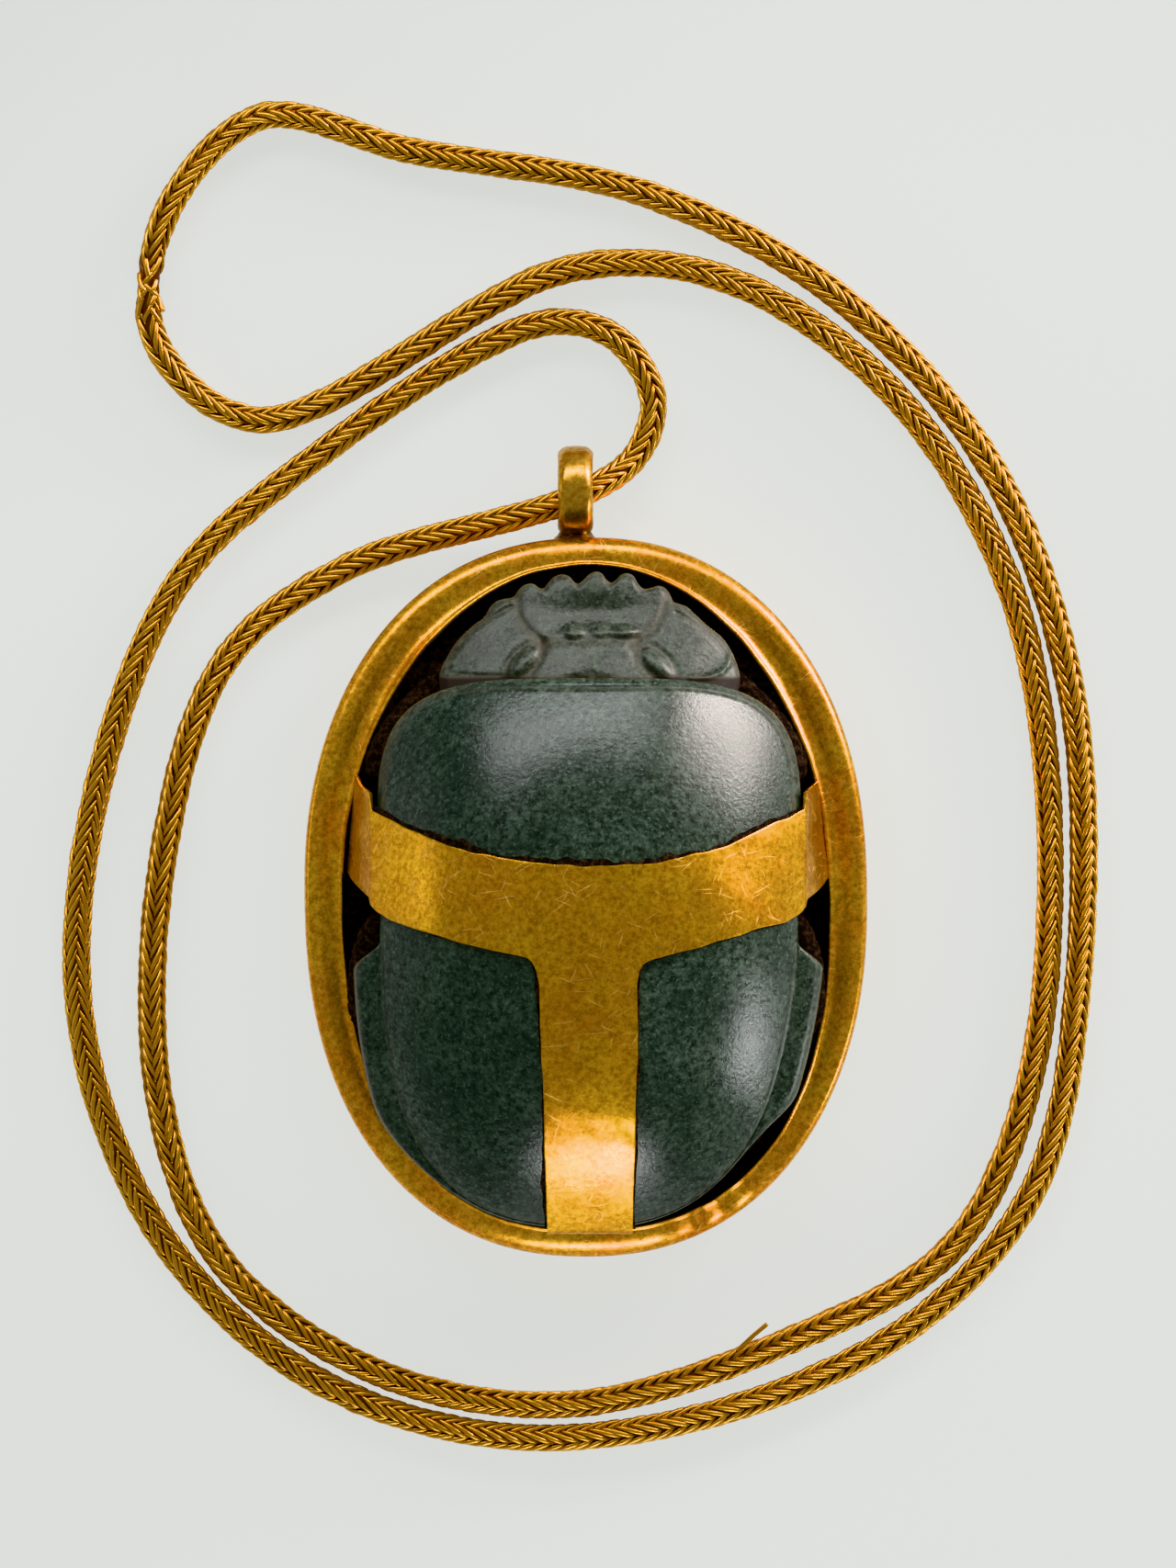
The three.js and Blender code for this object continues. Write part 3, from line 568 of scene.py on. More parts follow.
# chest: a smooth shield with a fine fillet line along its front and sides
CHEST_FRONT = 15.0
SHOULDER = 3.8                    # how square the chest's front corners are
in_front = np.sin(turn) > 0
chest_length = np.where(in_front, CHEST_FRONT, 6.5)
reach = oval(turn, CHEST_HALF_WIDTH, chest_length, np.where(in_front, SHOULDER, 6.0))
shares = np.concatenate([[0.05], np.linspace(0.12, 0.88, 26), np.linspace(0.9, 1.0, 26)])
rings = []
dirt_and_shade = []
for share in shares:
    x, y = out_from(CHEST_MIDDLE, reach * share, turn)
    aside = np.abs(x - CHEST_MIDDLE[0])
    across = np.clip(1 - (aside / CHEST_HALF_WIDTH) ** SHOULDER, 0, 1) ** (1 / SHOULDER)
    inside = np.minimum(CHEST_MIDDLE[1] + CHEST_FRONT * across - y, (CHEST_HALF_WIDTH - aside) * 1.4)
    inside = np.minimum(inside, reach * (1 - share))
    front = smooth_step(np.sin(turn), -0.1, 0.15)
    from_fillet = inside - 0.62 - 0.35 * cut(x - BACK_MIDDLE, 9.0)
    line = cut(from_fillet, 0.16) * front
    z = chest_height(x, y) - 0.16 * line - edge_round(inside, 0.55) + 0.06 * uneven(x, y, 10, 5)
    z = z - 0.25 * smooth_step(-from_fillet, 0, 0.3) * front
    rings.append(np.stack([x, y, z], -1))
    rubbed = 0.16 * cut((x - 13.5) / 5.5, 1) * cut((y - 13.5) / 4.5, 1)
    dirt_and_shade.append(0.3 * line + 0.2 * cut(inside, 0.3) * front + rubbed)
for inset, fall in ((0.0, 1.0), (0.1, 2.4), (0.5, 3.6), (1.5, 4.6), (3.0, 6.0)):
    x, y = out_from(CHEST_MIDDLE, reach - inset, turn)
    rings.append(np.stack([x, y, rings[len(shares) - 1][:, 2] - fall], -1))
    # painted shade: the chest's sides darken the further they fall below its edge
    dirt_and_shade.append(np.full(len(turn), min(1, 0.4 + fall * 0.2)))
add_shell(rings, dirt_and_shade)

# head: toothed shield in front, a cheek at each side, the eyes and the brow between them
HEAD_OUTLINE = [
    (-13.3, 19.5), (-13.2, 20.8), (-12.8, 21.65), (-11.8, 23.3), (-10.3, 24.8), (-9.25, 25.6),
    (-8.65, 26.6), (-8.0, 27.1), (-6.6, 27.45), (-6.25, 27.9), (-5.8, 28.4), (-5.2, 28.65), (-4.7, 28.6),
    (-4.3, 28.3), (-3.9, 28.2), (-3.45, 28.7), (-2.9, 29.25), (-2.1, 29.5), (-1.5, 29.3), (-1.05, 28.8),
    (-0.7, 28.65), (-0.2, 29.0), (0.3, 29.5), (0.95, 29.75), (1.5, 29.55), (1.85, 29.05), (2.3, 28.75),
    (2.75, 29.0), (3.2, 29.45), (3.8, 29.6), (4.35, 29.35), (4.7, 28.75), (5.25, 28.2), (5.9, 28.25),
    (6.5, 28.45), (7.05, 28.35), (7.5, 27.95), (7.75, 27.5), (8.0, 27.0), (8.5, 26.8), (9.2, 26.55),
    (9.8, 26.0), (11.1, 24.8), (12.4, 23.75), (13.25, 22.5), (13.9, 20.8), (14.0, 19.5), (13.0, 17.5),
    (0.6, 16.5), (-12.5, 17.5),
]
SHIELD_SIDES = [
    [(-6.3, 27.5), (-6.1, 25.65), (-5.25, 24.4), (-3.8, 23.3)],
    [(7.45, 27.5), (6.9, 25.65), (6.3, 24.6), (4.6, 23.5)],
]
SHIELD_FOOT = [(-3.8, 23.3), (0.4, 23.45), (4.6, 23.5)]
LEDGE = [(-2.4, 24.6), (-1.6, 25.0), (-0.2, 25.05), (1.8, 25.1), (4.0, 24.95), (4.9, 24.6)]
BROW_SIDES = [[(-3.8, 23.1), (-4.1, 21.65), (-5.05, 20.0)], [(4.0, 22.9), (4.6, 21.2), (6.7, 19.8)]]
CHEEK_LINES = [
    [(-12.6, 20.5), (-12.4, 21.65), (-11.1, 23.5), (-10.1, 24.7), (-8.4, 25.65), (-6.85, 26.5)],
    [(-12.2, 20.4), (-9.7, 20.2), (-6.9, 20.1)],
    [(12.9, 22.0), (11.9, 23.4), (10.4, 24.7), (9.0, 25.6), (8.2, 26.0)],
]
CHEEK_FOLD = [(9.6, 20.0), (11.2, 20.1), (12.3, 20.5), (12.9, 21.2), (13.2, 22.2)]
BUMPS = [(-1.0, 24.3, 1.0, 0.72), (1.35, 24.35, 0.95, 0.66), (3.4, 24.25, 1.1, 0.56)]
EYES = [(-5.7, 21.45, 47), (6.5, 21.35, -44)]
outline_reach, outline_turn = seen_from(HEAD_MIDDLE, *through_points(HEAD_OUTLINE, 24).T)
order = np.argsort(outline_turn)
front_turns = np.linspace(-0.08, math.pi + 0.08, 400, endpoint=False)
back_turns = np.linspace(math.pi + 0.08, 2 * math.pi - 0.08, 30, endpoint=False)
turn = np.concatenate([front_turns, back_turns])
reach = np.interp(turn, outline_turn[order], outline_reach[order], period=2 * math.pi)
shares = np.concatenate([[0.04], np.linspace(0.1, 0.86, 52), np.linspace(0.872, 1.0, 18)])


def head_relief(x, y):
    """Carved relief of the head above its plain slope, and the dirt held in its cuts."""
    z = 18.4 - 0.46 * (y - 18.6) - 3.0 * ((x - 0.6) / 13.4) ** 2
    seams = np.minimum(line_distance(x, y, SHIELD_SIDES[0]), line_distance(x, y, SHIELD_SIDES[1]))
    foot = line_distance(x, y, SHIELD_FOOT)
    brow = np.minimum(line_distance(x, y, BROW_SIDES[0]), line_distance(x, y, BROW_SIDES[1]))
    lines = np.minimum.reduce([line_distance(x, y, line) for line in CHEEK_LINES])
    scoop = cut((x - 0.7) / 5.0, 1) * cut((y - 26.0) / 1.6, 1)
    sunk = cut((x - 0.6) / 4.6, 1) * cut((y - 24.35) / 0.8, 1)
    z = z - 0.17 * cut(seams, 0.4) - 0.15 * cut(foot, 0.45)
    z = z - 0.14 * cut(brow, 0.4) - 0.12 * cut(lines, 0.25)
    z = z - 0.7 * scoop - 0.3 * sunk - 0.1 * cut(line_distance(x, y, LEDGE), 0.2)
    z = z + 0.3 * cut(line_distance(x, y, CHEEK_FOLD), 0.3)
    for bx, by, wide, deep in BUMPS:
        z = z + 0.52 * np.exp(-np.hypot((x - bx) / wide, (y - by) / deep) ** 3)
    dirt_and_shade = 0.21 + 0.22 * cut(seams, 0.6)
    dirt_and_shade = dirt_and_shade + 0.15 * (cut(foot, 0.5) + cut(brow, 0.5) + cut(lines, 0.3))
    for ex, ey, tilt in EYES:
        cos, sin = math.cos(math.radians(tilt)), math.sin(math.radians(tilt))
        along = (x - ex) * cos + (y - ey) * sin
        across = -(x - ex) * sin + (y - ey) * cos
        away = np.hypot(along / 1.9, across / 0.9)
        z = z + 0.4 * np.clip(1 - away**2, 0, 1) - 0.16 * cut(away - 1.15, 0.35)
        dirt_and_shade = dirt_and_shade + 0.18 * cut(away - 1.12, 0.25)
    hollow = np.exp(-((x - BACK_MIDDLE) / 2.3) ** 4 - ((y - 19.95) / 0.32) ** 2)
    z = z - 0.25 * hollow
    return z + 0.05 * uneven(x, y, 4, 9), dirt_and_shade + 0.3 * hollow


rings = []
dirt_and_shade = []
for share in shares:
    x, y = out_from(HEAD_MIDDLE, reach * share, turn)
    z, held_dirt_and_shade = head_relief(x, y)
    inside = reach * (1 - share)
    z = z - edge_round(inside, 0.75)
    rings.append(np.stack([x, y, z], -1))
    # painted shade: the head turns near black where it runs back under the chest's front edge
    dirt_and_shade.append(held_dirt_and_shade + 0.25 * cut(inside, 0.5) + 0.7 * smooth_step(-y, -20.4, -19.8))
edge = rings[-1][:, 2]
for inset, fall in ((0.0, 0.7), (0.12, 1.6), (0.5, 2.3), (1.6, 3.2), (3.4, 4.0)):
    x, y = out_from(HEAD_MIDDLE, reach - inset, turn)
    rings.append(np.stack([x, y, edge - fall], -1))
    # painted shade: the head's sides darken the further they fall below its edge
    dirt_and_shade.append(np.full(len(turn), min(1, 0.4 + 0.3 * fall)))
add_shell(rings, dirt_and_shade)

# the body behind the legs, rough and caked with the dirt of the grave, then the flat oval base; these and
# the legs take the near-black earth, which is also painted shade
clean_points = sum(len(p) for p in stone_points)
clean_faces = len(stone_faces)
turn = np.arange(180) / 180 * 2 * math.pi
body_length = np.where(np.sin(turn) > 0, 25.6, 28.0)
BODY_MIDDLE = (BACK_MIDDLE, -0.6)
rings = []
for wider, longer, z in ((0.2, 0.2, 15.0), (0.75, 0.85, 15.0), (0.9, 0.95, 12.8), (0.92, 0.95, 9.0),
                         (1.0, 1.0, 5.4), (1.02, 1.0, 4.0)):
    radius = oval(turn, 18.9 * wider, body_length * longer, 2.6)
    x, y = out_from(BODY_MIDDLE, radius, turn)
    high = z - 3.6 * smooth_step(np.abs(y), 15, 27) * (z > 8)
    rings.append(np.stack([x, y, high + 0.3 * uneven(turn * 20, z + turn * 0, 5, 11)], -1))
add_shell(rings)
rings = []
for inset, z in ((16.0, BASE_TOP), (1.2, BASE_TOP), (0.75, 4.45), (0.6, 4.0), (0.6, 1.0), (0.75, 0.65),
                 (1.2, 0.5), (16.0, 0.5)):
    x, y = out_from((0, 0), oval(turn, 24.9, 32.1, 2.25) - inset, turn)
    rings.append(np.stack([x, y, np.full(len(turn), z)], -1))
add_shell(rings)

# three pairs of legs folded along the sides, notched across like a beetle's
LEGS = [
    [(18.8, 10.6, 9.4), (18.6, 12.4, 9.8), (17.7, 14.6, 9.2), (15.8, 17.2, 8.2), (12.4, 20.4, 7.4),
     (8.6, 23.4, 6.8), (4.4, 26.0, 6.2)],
    [(18.4, -1.6, 11.4), (20.0, -5.6, 9.6), (20.4, -9.6, 7.8), (20.0, -12.6, 6.4)],
    [(18.6, -9.0, 9.8), (18.0, -15.6, 8.8), (14.4, -21.8, 7.4), (10.0, -25.2, 6.8), (5.2, -27.0, 6.2)],
]
LEG_RINGS = 46
LEG_SIDES = 14
turns = np.arange(LEG_SIDES) / LEG_SIDES * 2 * math.pi
ease = np.linspace(-1, 1, LEG_RINGS)
notched = np.arange(LEG_RINGS) % 5 == 0
for side, beside_chest in ((-1, -0.2), (1, 0.3)):
    for leg in LEGS:
        points = np.array(leg) * [side, 1, 1] + [beside_chest, 0, 0]
        steps = np.linspace(0, len(points) - 1, LEG_RINGS)
        path = np.stack([np.interp(steps, range(len(points)), points[:, k]) for k in range(3)], -1)
        for _ in range(12):
            path[1:-1] = (path[:-2] + 2 * path[1:-1] + path[2:]) / 4
        ahead = unit(np.gradient(path, axis=0))
        out = unit(np.cross(ahead, [0, 0, 1]) * side)
        up = np.cross(out, ahead) * side
        thick = (1.3 - 0.12 * ease - 0.12 * notched) * (1 - ease**8) ** 0.5 + 0.05
        rings = [p + t * round_line(turns * side, o, u) for p, t, o, u in zip(path, thick, out, up)]
        add_shell(rings)


def bump(tree, height, depth, strength, under=None):
    """Fine relief of a depth in mm, laid over the relief under it."""
    node = add_node(tree, "ShaderNodeBump", {
        "Height": height, "Distance": depth * mm, "Strength": strength})
    if under is not None:
        tree.links.new(under, node.inputs["Normal"])
    return node.outputs["Normal"]


# Ground and polished dark green stone, speckled paler and darker, pinkish dirt in its cuts, and painted
# shade, near black, where its sides fall away
green_stone, tree, surface = new_material("polished_green_stone")
place = add_node(tree, "ShaderNodeTexCoord").outputs["Object"]
held_dirt_and_shade = add_node(tree, "ShaderNodeAttribute", attribute_name="dirt_and_shade").outputs["Fac"]
cloud = noise(tree, place, 5, 4.0, 0.6)
grain = noise(tree, place, 0.65, 5.0, 0.75)
fleck = noise(tree, place, 0.33, 2.0, 0.6)
colour = blend(tree, spread(tree, grain, 0.38, 0.66), "#121b14", "#506054")
colour = blend(tree, spread(tree, cloud, 0.4, 0.75, 0.0, 0.8), colour, "#1d2921")
colour = blend(tree, spread(tree, fleck, 0.55, 0.75, 0.0, 0.6), colour, "#64786a")
patchy = add_node(tree, "ShaderNodeMath", {0: held_dirt_and_shade, 1: grain}, operation="MULTIPLY").outputs[0]
colour = blend(tree, spread(tree, patchy, 0.04, 0.42, 0.0, 0.85), colour, "#534a3c")
# painted shade: the highest values, on the falling sides and where the head passes under the chest, turn
# the stone near black
colour = blend(tree, spread(tree, held_dirt_and_shade, 0.6, 0.95), colour, "#1f1510")
tree.links.new(colour, surface.inputs["Base Color"])
tree.links.new(spread(tree, patchy, 0.0, 0.4, 0.27, 0.75), surface.inputs["Roughness"])
pits = bump(tree, grain, 0.03, 0.5)
tree.links.new(bump(tree, fleck, 0.032, 0.8, pits), surface.inputs["Normal"])

# Dark grave earth, dull and crumbly, that fills the cuts below and the corners by the mount; its near-black
# tone is also painted shade for the deep gap round the stone
earth_and_shade, tree, surface = new_material("brown_earth_and_painted_shade")
place = add_node(tree, "ShaderNodeTexCoord").outputs["Object"]
crumbs = noise(tree, place, 0.6, 4.0, 0.7)
earth = blend(tree, spread(tree, crumbs, 0.48, 0.78), "#100b09", "#57453a")
tree.links.new(earth, surface.inputs["Base Color"])
surface.inputs["Roughness"].default_value = 0.9
surface.inputs["Specular IOR Level"].default_value = 0.12
tree.links.new(bump(tree, crumbs, 0.15, 0.8), surface.inputs["Normal"])

points = np.vstack(stone_points) * mm + [0, mount_y, 0]
stone = mesh_piece("carved_scarab", points[:clean_points], stone_faces[:clean_faces], green_stone)
give_attribute(stone, "dirt_and_shade", np.clip(np.concatenate(stone_dirt_and_shade), 0, 1)[:clean_points])
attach(stone, "root")
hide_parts("scarab_stone")
caked_faces = [[k - clean_points for k in face] for face in stone_faces[clean_faces:]]
caked_and_shaded_parts = mesh_piece("caked_and_shaded_legs_and_base", points[clean_points:], caked_faces, earth_and_shade)
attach(caked_and_shaded_parts, "root")

# Gold mount
# A frame of sheet gold, bent to a channel: flat face, outer wall and a narrow flange behind. The
# face is rounded over outside and rolled to a small lip inside, and was hammered a little uneven.

MOUNT_HALF = (25.8, 33.0)
OPENING_HALF = (22.2, 30.35)
FACE_WIDTH = 3.6
RIM = 8.0
MOUNT_POINTS = 288
MOUNT_SECTION = [                 # distance in from the outer wall, height
    (3.4, 0.0), (0.3, 0.0), (0.08, 0.08), (0.0, 0.3), (0.0, 3.0), (0.02, 6.2), (0.0, 7.0), (0.06, 7.3),
    (0.2, 7.62), (0.42, 7.85), (0.7, 7.97), (1.0, RIM), (1.5, 7.9), (2.1, 7.75), (2.5, 7.66),
    (2.8, 7.6), (2.98, 7.6), (3.1, 7.66), (3.22, 7.8), (3.36, 7.86), (3.5, 7.8), (FACE_WIDTH, 7.6),
    (3.56, 7.38), (3.4, 7.2), (2.9, 7.1), (1.4, 7.1), (0.9, 6.6), (0.9, 0.9), (3.4, 0.9),
]


def vertex_places(mesh):
    places = np.empty(len(mesh.vertices) * 3)
    mesh.vertices.foreach_get("co", places)
    return places.reshape(-1, 3)


bpy.ops.object.select_all(action="DESELECT")
start_radius = MOUNT_HALF[0] - MOUNT_SECTION[0][0]
bpy.ops.mesh.primitive_circle_add(
    vertices=MOUNT_POINTS, radius=start_radius * mm, location=(0, 0, 0))
mount = bpy.context.object
mount.name = "sheet_gold_mount"
bpy.ops.object.mode_set(mode="EDIT")
bpy.ops.mesh.select_all(action="SELECT")
for (near, low), (inset, height) in zip(MOUNT_SECTION[:-1], MOUNT_SECTION[1:]):
    wider = (MOUNT_HALF[0] - inset) / (MOUNT_HALF[0] - near)
    bpy.ops.mesh.extrude_edges_move(TRANSFORM_OT_translate={"value": (0, 0, (height - low) * mm)})
    bpy.ops.transform.resize(value=(wider, wider, 1), center_override=(0, 0, 0))
bpy.ops.mesh.select_all(action="DESELECT")
bpy.ops.mesh.select_mode(type="VERT")
bpy.ops.object.mode_set(mode="OBJECT")
mesh = mount.data
shape = vertex_places(mesh) / mm
ends = np.zeros(len(shape), dtype=bool)
ends[:MOUNT_POINTS] = True
ends[-MOUNT_POINTS:] = True
mesh.vertices.foreach_set("select", ends)
bpy.ops.object.mode_set(mode="EDIT")
bpy.ops.mesh.select_mode(type="EDGE")
bpy.ops.mesh.bridge_edge_loops()
bpy.ops.mesh.select_all(action="SELECT")
bpy.ops.mesh.normals_make_consistent(inside=False)
bpy.ops.object.mode_set(mode="OBJECT")

# the round channel slid to the two ovals, and worked uneven by hand
turn = np.arctan2(shape[:, 1], shape[:, 0])
outer = oval(turn, *MOUNT_HALF, 2.23)
lip = oval(turn, *OPENING_HALF, np.where(np.sin(turn) > 0, 2.0, 2.4 + 0.1 * np.cos(turn)))
inset = MOUNT_HALF[0] - np.hypot(shape[:, 0], shape[:, 1])
radius = outer - inset * (outer - lip) / FACE_WIDTH
x, y = outer * np.cos(turn), outer * np.sin(turn)
face = np.clip(shape[:, 2] / RIM, 0, 1) ** 3
radius += face * (0.1 * uneven(x, y, 22, 21) + 0.05 * uneven(x, y, 6, 22) * (inset / FACE_WIDTH))
height = shape[:, 2] + face * (0.1 * uneven(x, y, 16, 23) - 0.06)
# its outer edge falls away at both ends, its front corners sag, and the rear right is dented
end_fall = np.abs(np.sin(turn)) ** 3 * np.where(np.sin(turn) > 0, 1.3, 1.9)
height -= face * end_fall * np.clip(1 - inset / 3.0, 0, 1) ** 1.4
corner = np.exp(-((np.abs(np.cos(turn)) - 0.62) / 0.26) ** 2) * (np.sin(turn) > 0)
height -= face * corner * 0.55 * smooth_step(inset, 1.2, 2.3) * (1 - 1.1 * smooth_step(inset, 2.3, 3.4))
dent = np.exp(-((x - 11) / 5) ** 2 - ((y + 29) / 3.5) ** 2)
blows = 0.6 + 0.4 * np.sin(x * 1.7 + y) + 0.2 * uneven(x, y, 2.5, 24)
height -= face * dent * blows * np.clip(inset / 2.2, 0, 1)
height -= face * dent * 0.9 * np.clip(1 - inset / 3.2, 0, 1)
shape = np.stack([radius * np.cos(turn), radius * np.sin(turn), np.clip(height, 0, RIM)], -1)
mesh.vertices.foreach_set("co", (shape * mm + [0, mount_y, 0]).ravel())
mesh.shade_smooth()

# Soft, nearly pure gold, hammered and burnished, then worn: scratches and rose-brown stains
SCRATCHES = [                     # direction in radians, length, width
    (0.6, 8, 0.4), (-0.4, 7, 0.36), (1.2, 5, 0.44), (0.1, 9, 0.36), (-1.1, 6, 0.4),
]


def drawn_out(tree, place, turn, long, wide):
    """The place turned and drawn out, so that a pattern on it lies in streaks."""
    node = add_node(tree, "ShaderNodeMapping", {
        "Vector": place, "Rotation": (0, 0, turn), "Scale": (long * mm, wide * mm, long * mm)},
        vector_type="TEXTURE")
    return node.outputs["Vector"]


def sheet_gold(name, pale, deep, wear):
    material, tree, surface = new_material(name)
    place = add_node(tree, "ShaderNodeTexCoord").outputs["Object"]
    painted_shade = add_node(tree, "ShaderNodeAttribute", attribute_name="dirt_and_shade").outputs["Fac"]
    stain = noise(tree, place, 6, 5.0, 0.65)
    grime = noise(tree, place, 0.55, 6.0, 0.8)
    colour = blend(tree, spread(tree, stain, 0.38, 0.68), pale, deep)
    colour = blend(tree, spread(tree, grime, 0.4, 0.62, 0.0, 0.85), colour, "#9d691a")
    # painted shade: dark brown where the attribute marks shade, under the mount's lip and at the ring's
    # foot
    colour = blend(tree, painted_shade, colour, "#3a2914")
    rub = add_node(tree, "ShaderNodeTexNoise", {"Vector": place, "Scale": 1 / (4 * mm), "Detail": 3.0})
    roughness = spread(tree, rub.outputs["Fac"], 0.3, 0.7, 0.25, 0.33)

    # pale, slightly bent scratches, thickest where the stain is
    worn_spots = spread(tree, stain, 0.4, 0.55, 0.0, wear)
    swept = add_node(tree, "ShaderNodeVectorMath", {
        0: rub.outputs["Color"], 1: (1.3 * mm, 1.3 * mm, 0)}, operation="MULTIPLY").outputs["Vector"]
    bent = add_node(tree, "ShaderNodeVectorMath", {0: place, 1: swept}, operation="ADD").outputs["Vector"]
    for turn, long, wide in SCRATCHES:
        dashes = add_node(tree, "ShaderNodeTexVoronoi", {
            "Vector": drawn_out(tree, bent, turn, long, wide), "Scale": 1.0, "Randomness": 1.0})
        dash = spread(tree, dashes.outputs["Distance"], 0.08, 0.17, 1.0, 0.0)
        seen = add_node(tree, "ShaderNodeMath", {0: dash, 1: worn_spots}, operation="MULTIPLY").outputs[0]
        colour = blend(tree, seen, colour, "#ffe39a")
        dulled = add_node(tree, "ShaderNodeMix", {"Factor": seen, "A": roughness, "B": 0.75})
        roughness = dulled.outputs["Result"]

    # marks of the burnisher, dimples of the hammer and a grainy skin, each over the one before
    brush_lines = add_node(tree, "ShaderNodeTexNoise", {
        "Vector": drawn_out(tree, place, 1.4, 3.5, 0.22), "Scale": 1.0, "Detail": 2.0})
    relief = bump(tree, brush_lines.outputs["Fac"], 0.025, wear)
    relief = bump(tree, noise(tree, place, 3.5, 1.0), 0.1, 0.3, relief)
    relief = bump(tree, grime, 0.03, wear, relief)
    surface.inputs["Metallic"].default_value = 1.0
    tree.links.new(colour, surface.inputs["Base Color"])
    tree.links.new(roughness, surface.inputs["Roughness"])
    tree.links.new(relief, surface.inputs["Normal"])
    return material


hammered_gold = sheet_gold("hammered_sheet_gold", "#ffc956", "#fba446", 0.3)
mesh.materials.append(hammered_gold)
# painted shade: the underside of the rolled inner lip, in the crevice by the stone, is darkened
give_attribute(mount, "dirt_and_shade", smooth_step(inset, 3.35, 3.7) * 0.5 * (height < 7.8))
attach(mount, "root")
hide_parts("gold_mount")

# Suspension ring
# A stout band of gold bent to a ring, its corners bevelled and rubbed round by the chain, with a
# flared foot of solder that holds it to the head end of the mount.

RING_MIDDLE = (-0.95, 37.35, 4.3)
SOLDER_START = (RING_MIDDLE[0], 32.5, 3.9)
SOLDER_SEAM = 33.6
RING_SECTION = [                  # out from the ring's middle, along the band's width
    (2.95, -1.3), (2.98, 0.0), (2.95, 1.3), (3.1, 1.5), (3.35, 1.6), (3.6, 1.55), (3.95, 1.2),
    (4.1, 0.85), (4.14, 0.3), (4.14, -0.3), (4.1, -0.85), (3.95, -1.2), (3.6, -1.55), (3.35, -1.6),
    (3.1, -1.5),
]
FOOT_STEPS = [                    # further from the mount, scale of the foot there
    (0.25, 1.0), (0.25, 0.93), (0.25, 0.86), (0.3, 0.88), (0.5, 0.95), (0.5, 1.0), (0.4, 0.97),
]

bpy.ops.object.select_all(action="DESELECT")
bpy.ops.mesh.primitive_circle_add(vertices=len(RING_SECTION), radius=1, location=(0, 0, 0))
ring = bpy.context.object
ring.name = "soldered_ring"
for vertex, (out, wide) in zip(ring.data.vertices, RING_SECTION):
    vertex.co = Vector((RING_MIDDLE[0] + wide, RING_MIDDLE[1] + out, RING_MIDDLE[2])) * mm
bpy.ops.object.mode_set(mode="EDIT")
bpy.ops.mesh.select_all(action="SELECT")
bpy.ops.mesh.spin(steps=96, angle=2 * math.pi, center=Vector(RING_MIDDLE) * mm, axis=(1, 0, 0))
bpy.ops.mesh.select_all(action="SELECT")
bpy.ops.mesh.remove_doubles(threshold=0.01 * mm)
bpy.ops.mesh.normals_make_consistent(inside=False)
bpy.ops.mesh.select_all(action="DESELECT")
bpy.ops.mesh.primitive_circle_add(
    vertices=28, radius=1 * mm, location=Vector(SOLDER_START) * mm, rotation=(math.pi / 2, 0, 0))
bpy.ops.transform.resize(value=(2.1, 1, 2.0))
for step, shrink in FOOT_STEPS:
    bpy.ops.mesh.extrude_edges_move(TRANSFORM_OT_translate={"value": (0, step * mm, 0)})
    bpy.ops.transform.resize(value=(shrink, 1, shrink))
bpy.ops.mesh.edge_face_add()
bpy.ops.mesh.select_linked()
bpy.ops.mesh.normals_make_consistent(inside=False)
bpy.ops.object.mode_set(mode="OBJECT")
mesh = ring.data
shape = vertex_places(mesh)
swell = uneven(shape[:, 1] / mm, shape[:, 2] / mm + shape[:, 0] / mm, 3.5, 31)
shape[:, 0] += 0.05 * mm * swell
shape[:, 1] += mount_y
mesh.vertices.foreach_set("co", shape.ravel())
mesh.shade_smooth()
rubbed_gold = sheet_gold("rubbed_thick_gold", "#ecbd5c", "#d9a650", 0.25)
mesh.materials.append(rubbed_gold)
# painted shade: the foot darkens towards the solder seam where the ring meets the mount
give_attribute(ring, "dirt_and_shade", 0.8 * cut(shape[:, 1] / mm - mount_y / mm - SOLDER_SEAM, 1.0))
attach(ring, "root")
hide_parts("suspension_ring")

# Gold strap
# A T of thin sheet gold laid over the rear edge of the chest and down between the wing cases. Its
# arms end in creased tabs that dive under the mount's lip, its tail is tucked under at the rear.
# The sheet is set out point by point, because it was pressed down to the shape of the stone.

STRAP_GAP = 0.22
SHEET = 0.3
TAB_FOOT_HEIGHT = 7.3
TAIL_START = -5.2
FAR_BELOW = -5.0
BRIDGED = (-3.5, -2.8, -2.1, -1.4, -0.7, 0, 0.7, 1.4, 2.1, 2.8, 3.5)    # hollows the sheet spans
ARM_SIDES = (-19.3, 19.7)
ARM_TOP = [
    (-19.3, 8.0), (-16.5, 6.6), (-11.5, 4.5), (-5, 3.3), (0.3, 2.95), (6, 3.2), (11.5, 4.4),
    (16.5, 6.6), (19.7, 8.1),
]
ARM_FOOT = [
    (-19.3, -0.6), (-18.9, -1.1), (-17.4, -2.0), (-13.6, -3.2), (-9.9, -4.2), (-6.0, -5.0), (0.3, -5.6),
    (6.2, -5.25), (10.3, -4.2), (15.0, -2.8), (17.9, -2.1), (19.3, -1.3), (19.7, -0.8),
]
TAIL_SIDES = [                    # y, left and right edge
    (-5.2, -6.0, 6.2), (-5.4, -5.2, 5.6), (-5.75, -4.75, 5.05), (-6.4, -4.4, 4.75), (-7.5, -4.2, 4.62),
    (-13.0, -3.95, 4.6), (-20.0, -3.7, 4.4), (-27.0, -3.6, 4.3), (-29.8, -3.5, 4.25),
]
rows, columns = 44, 200


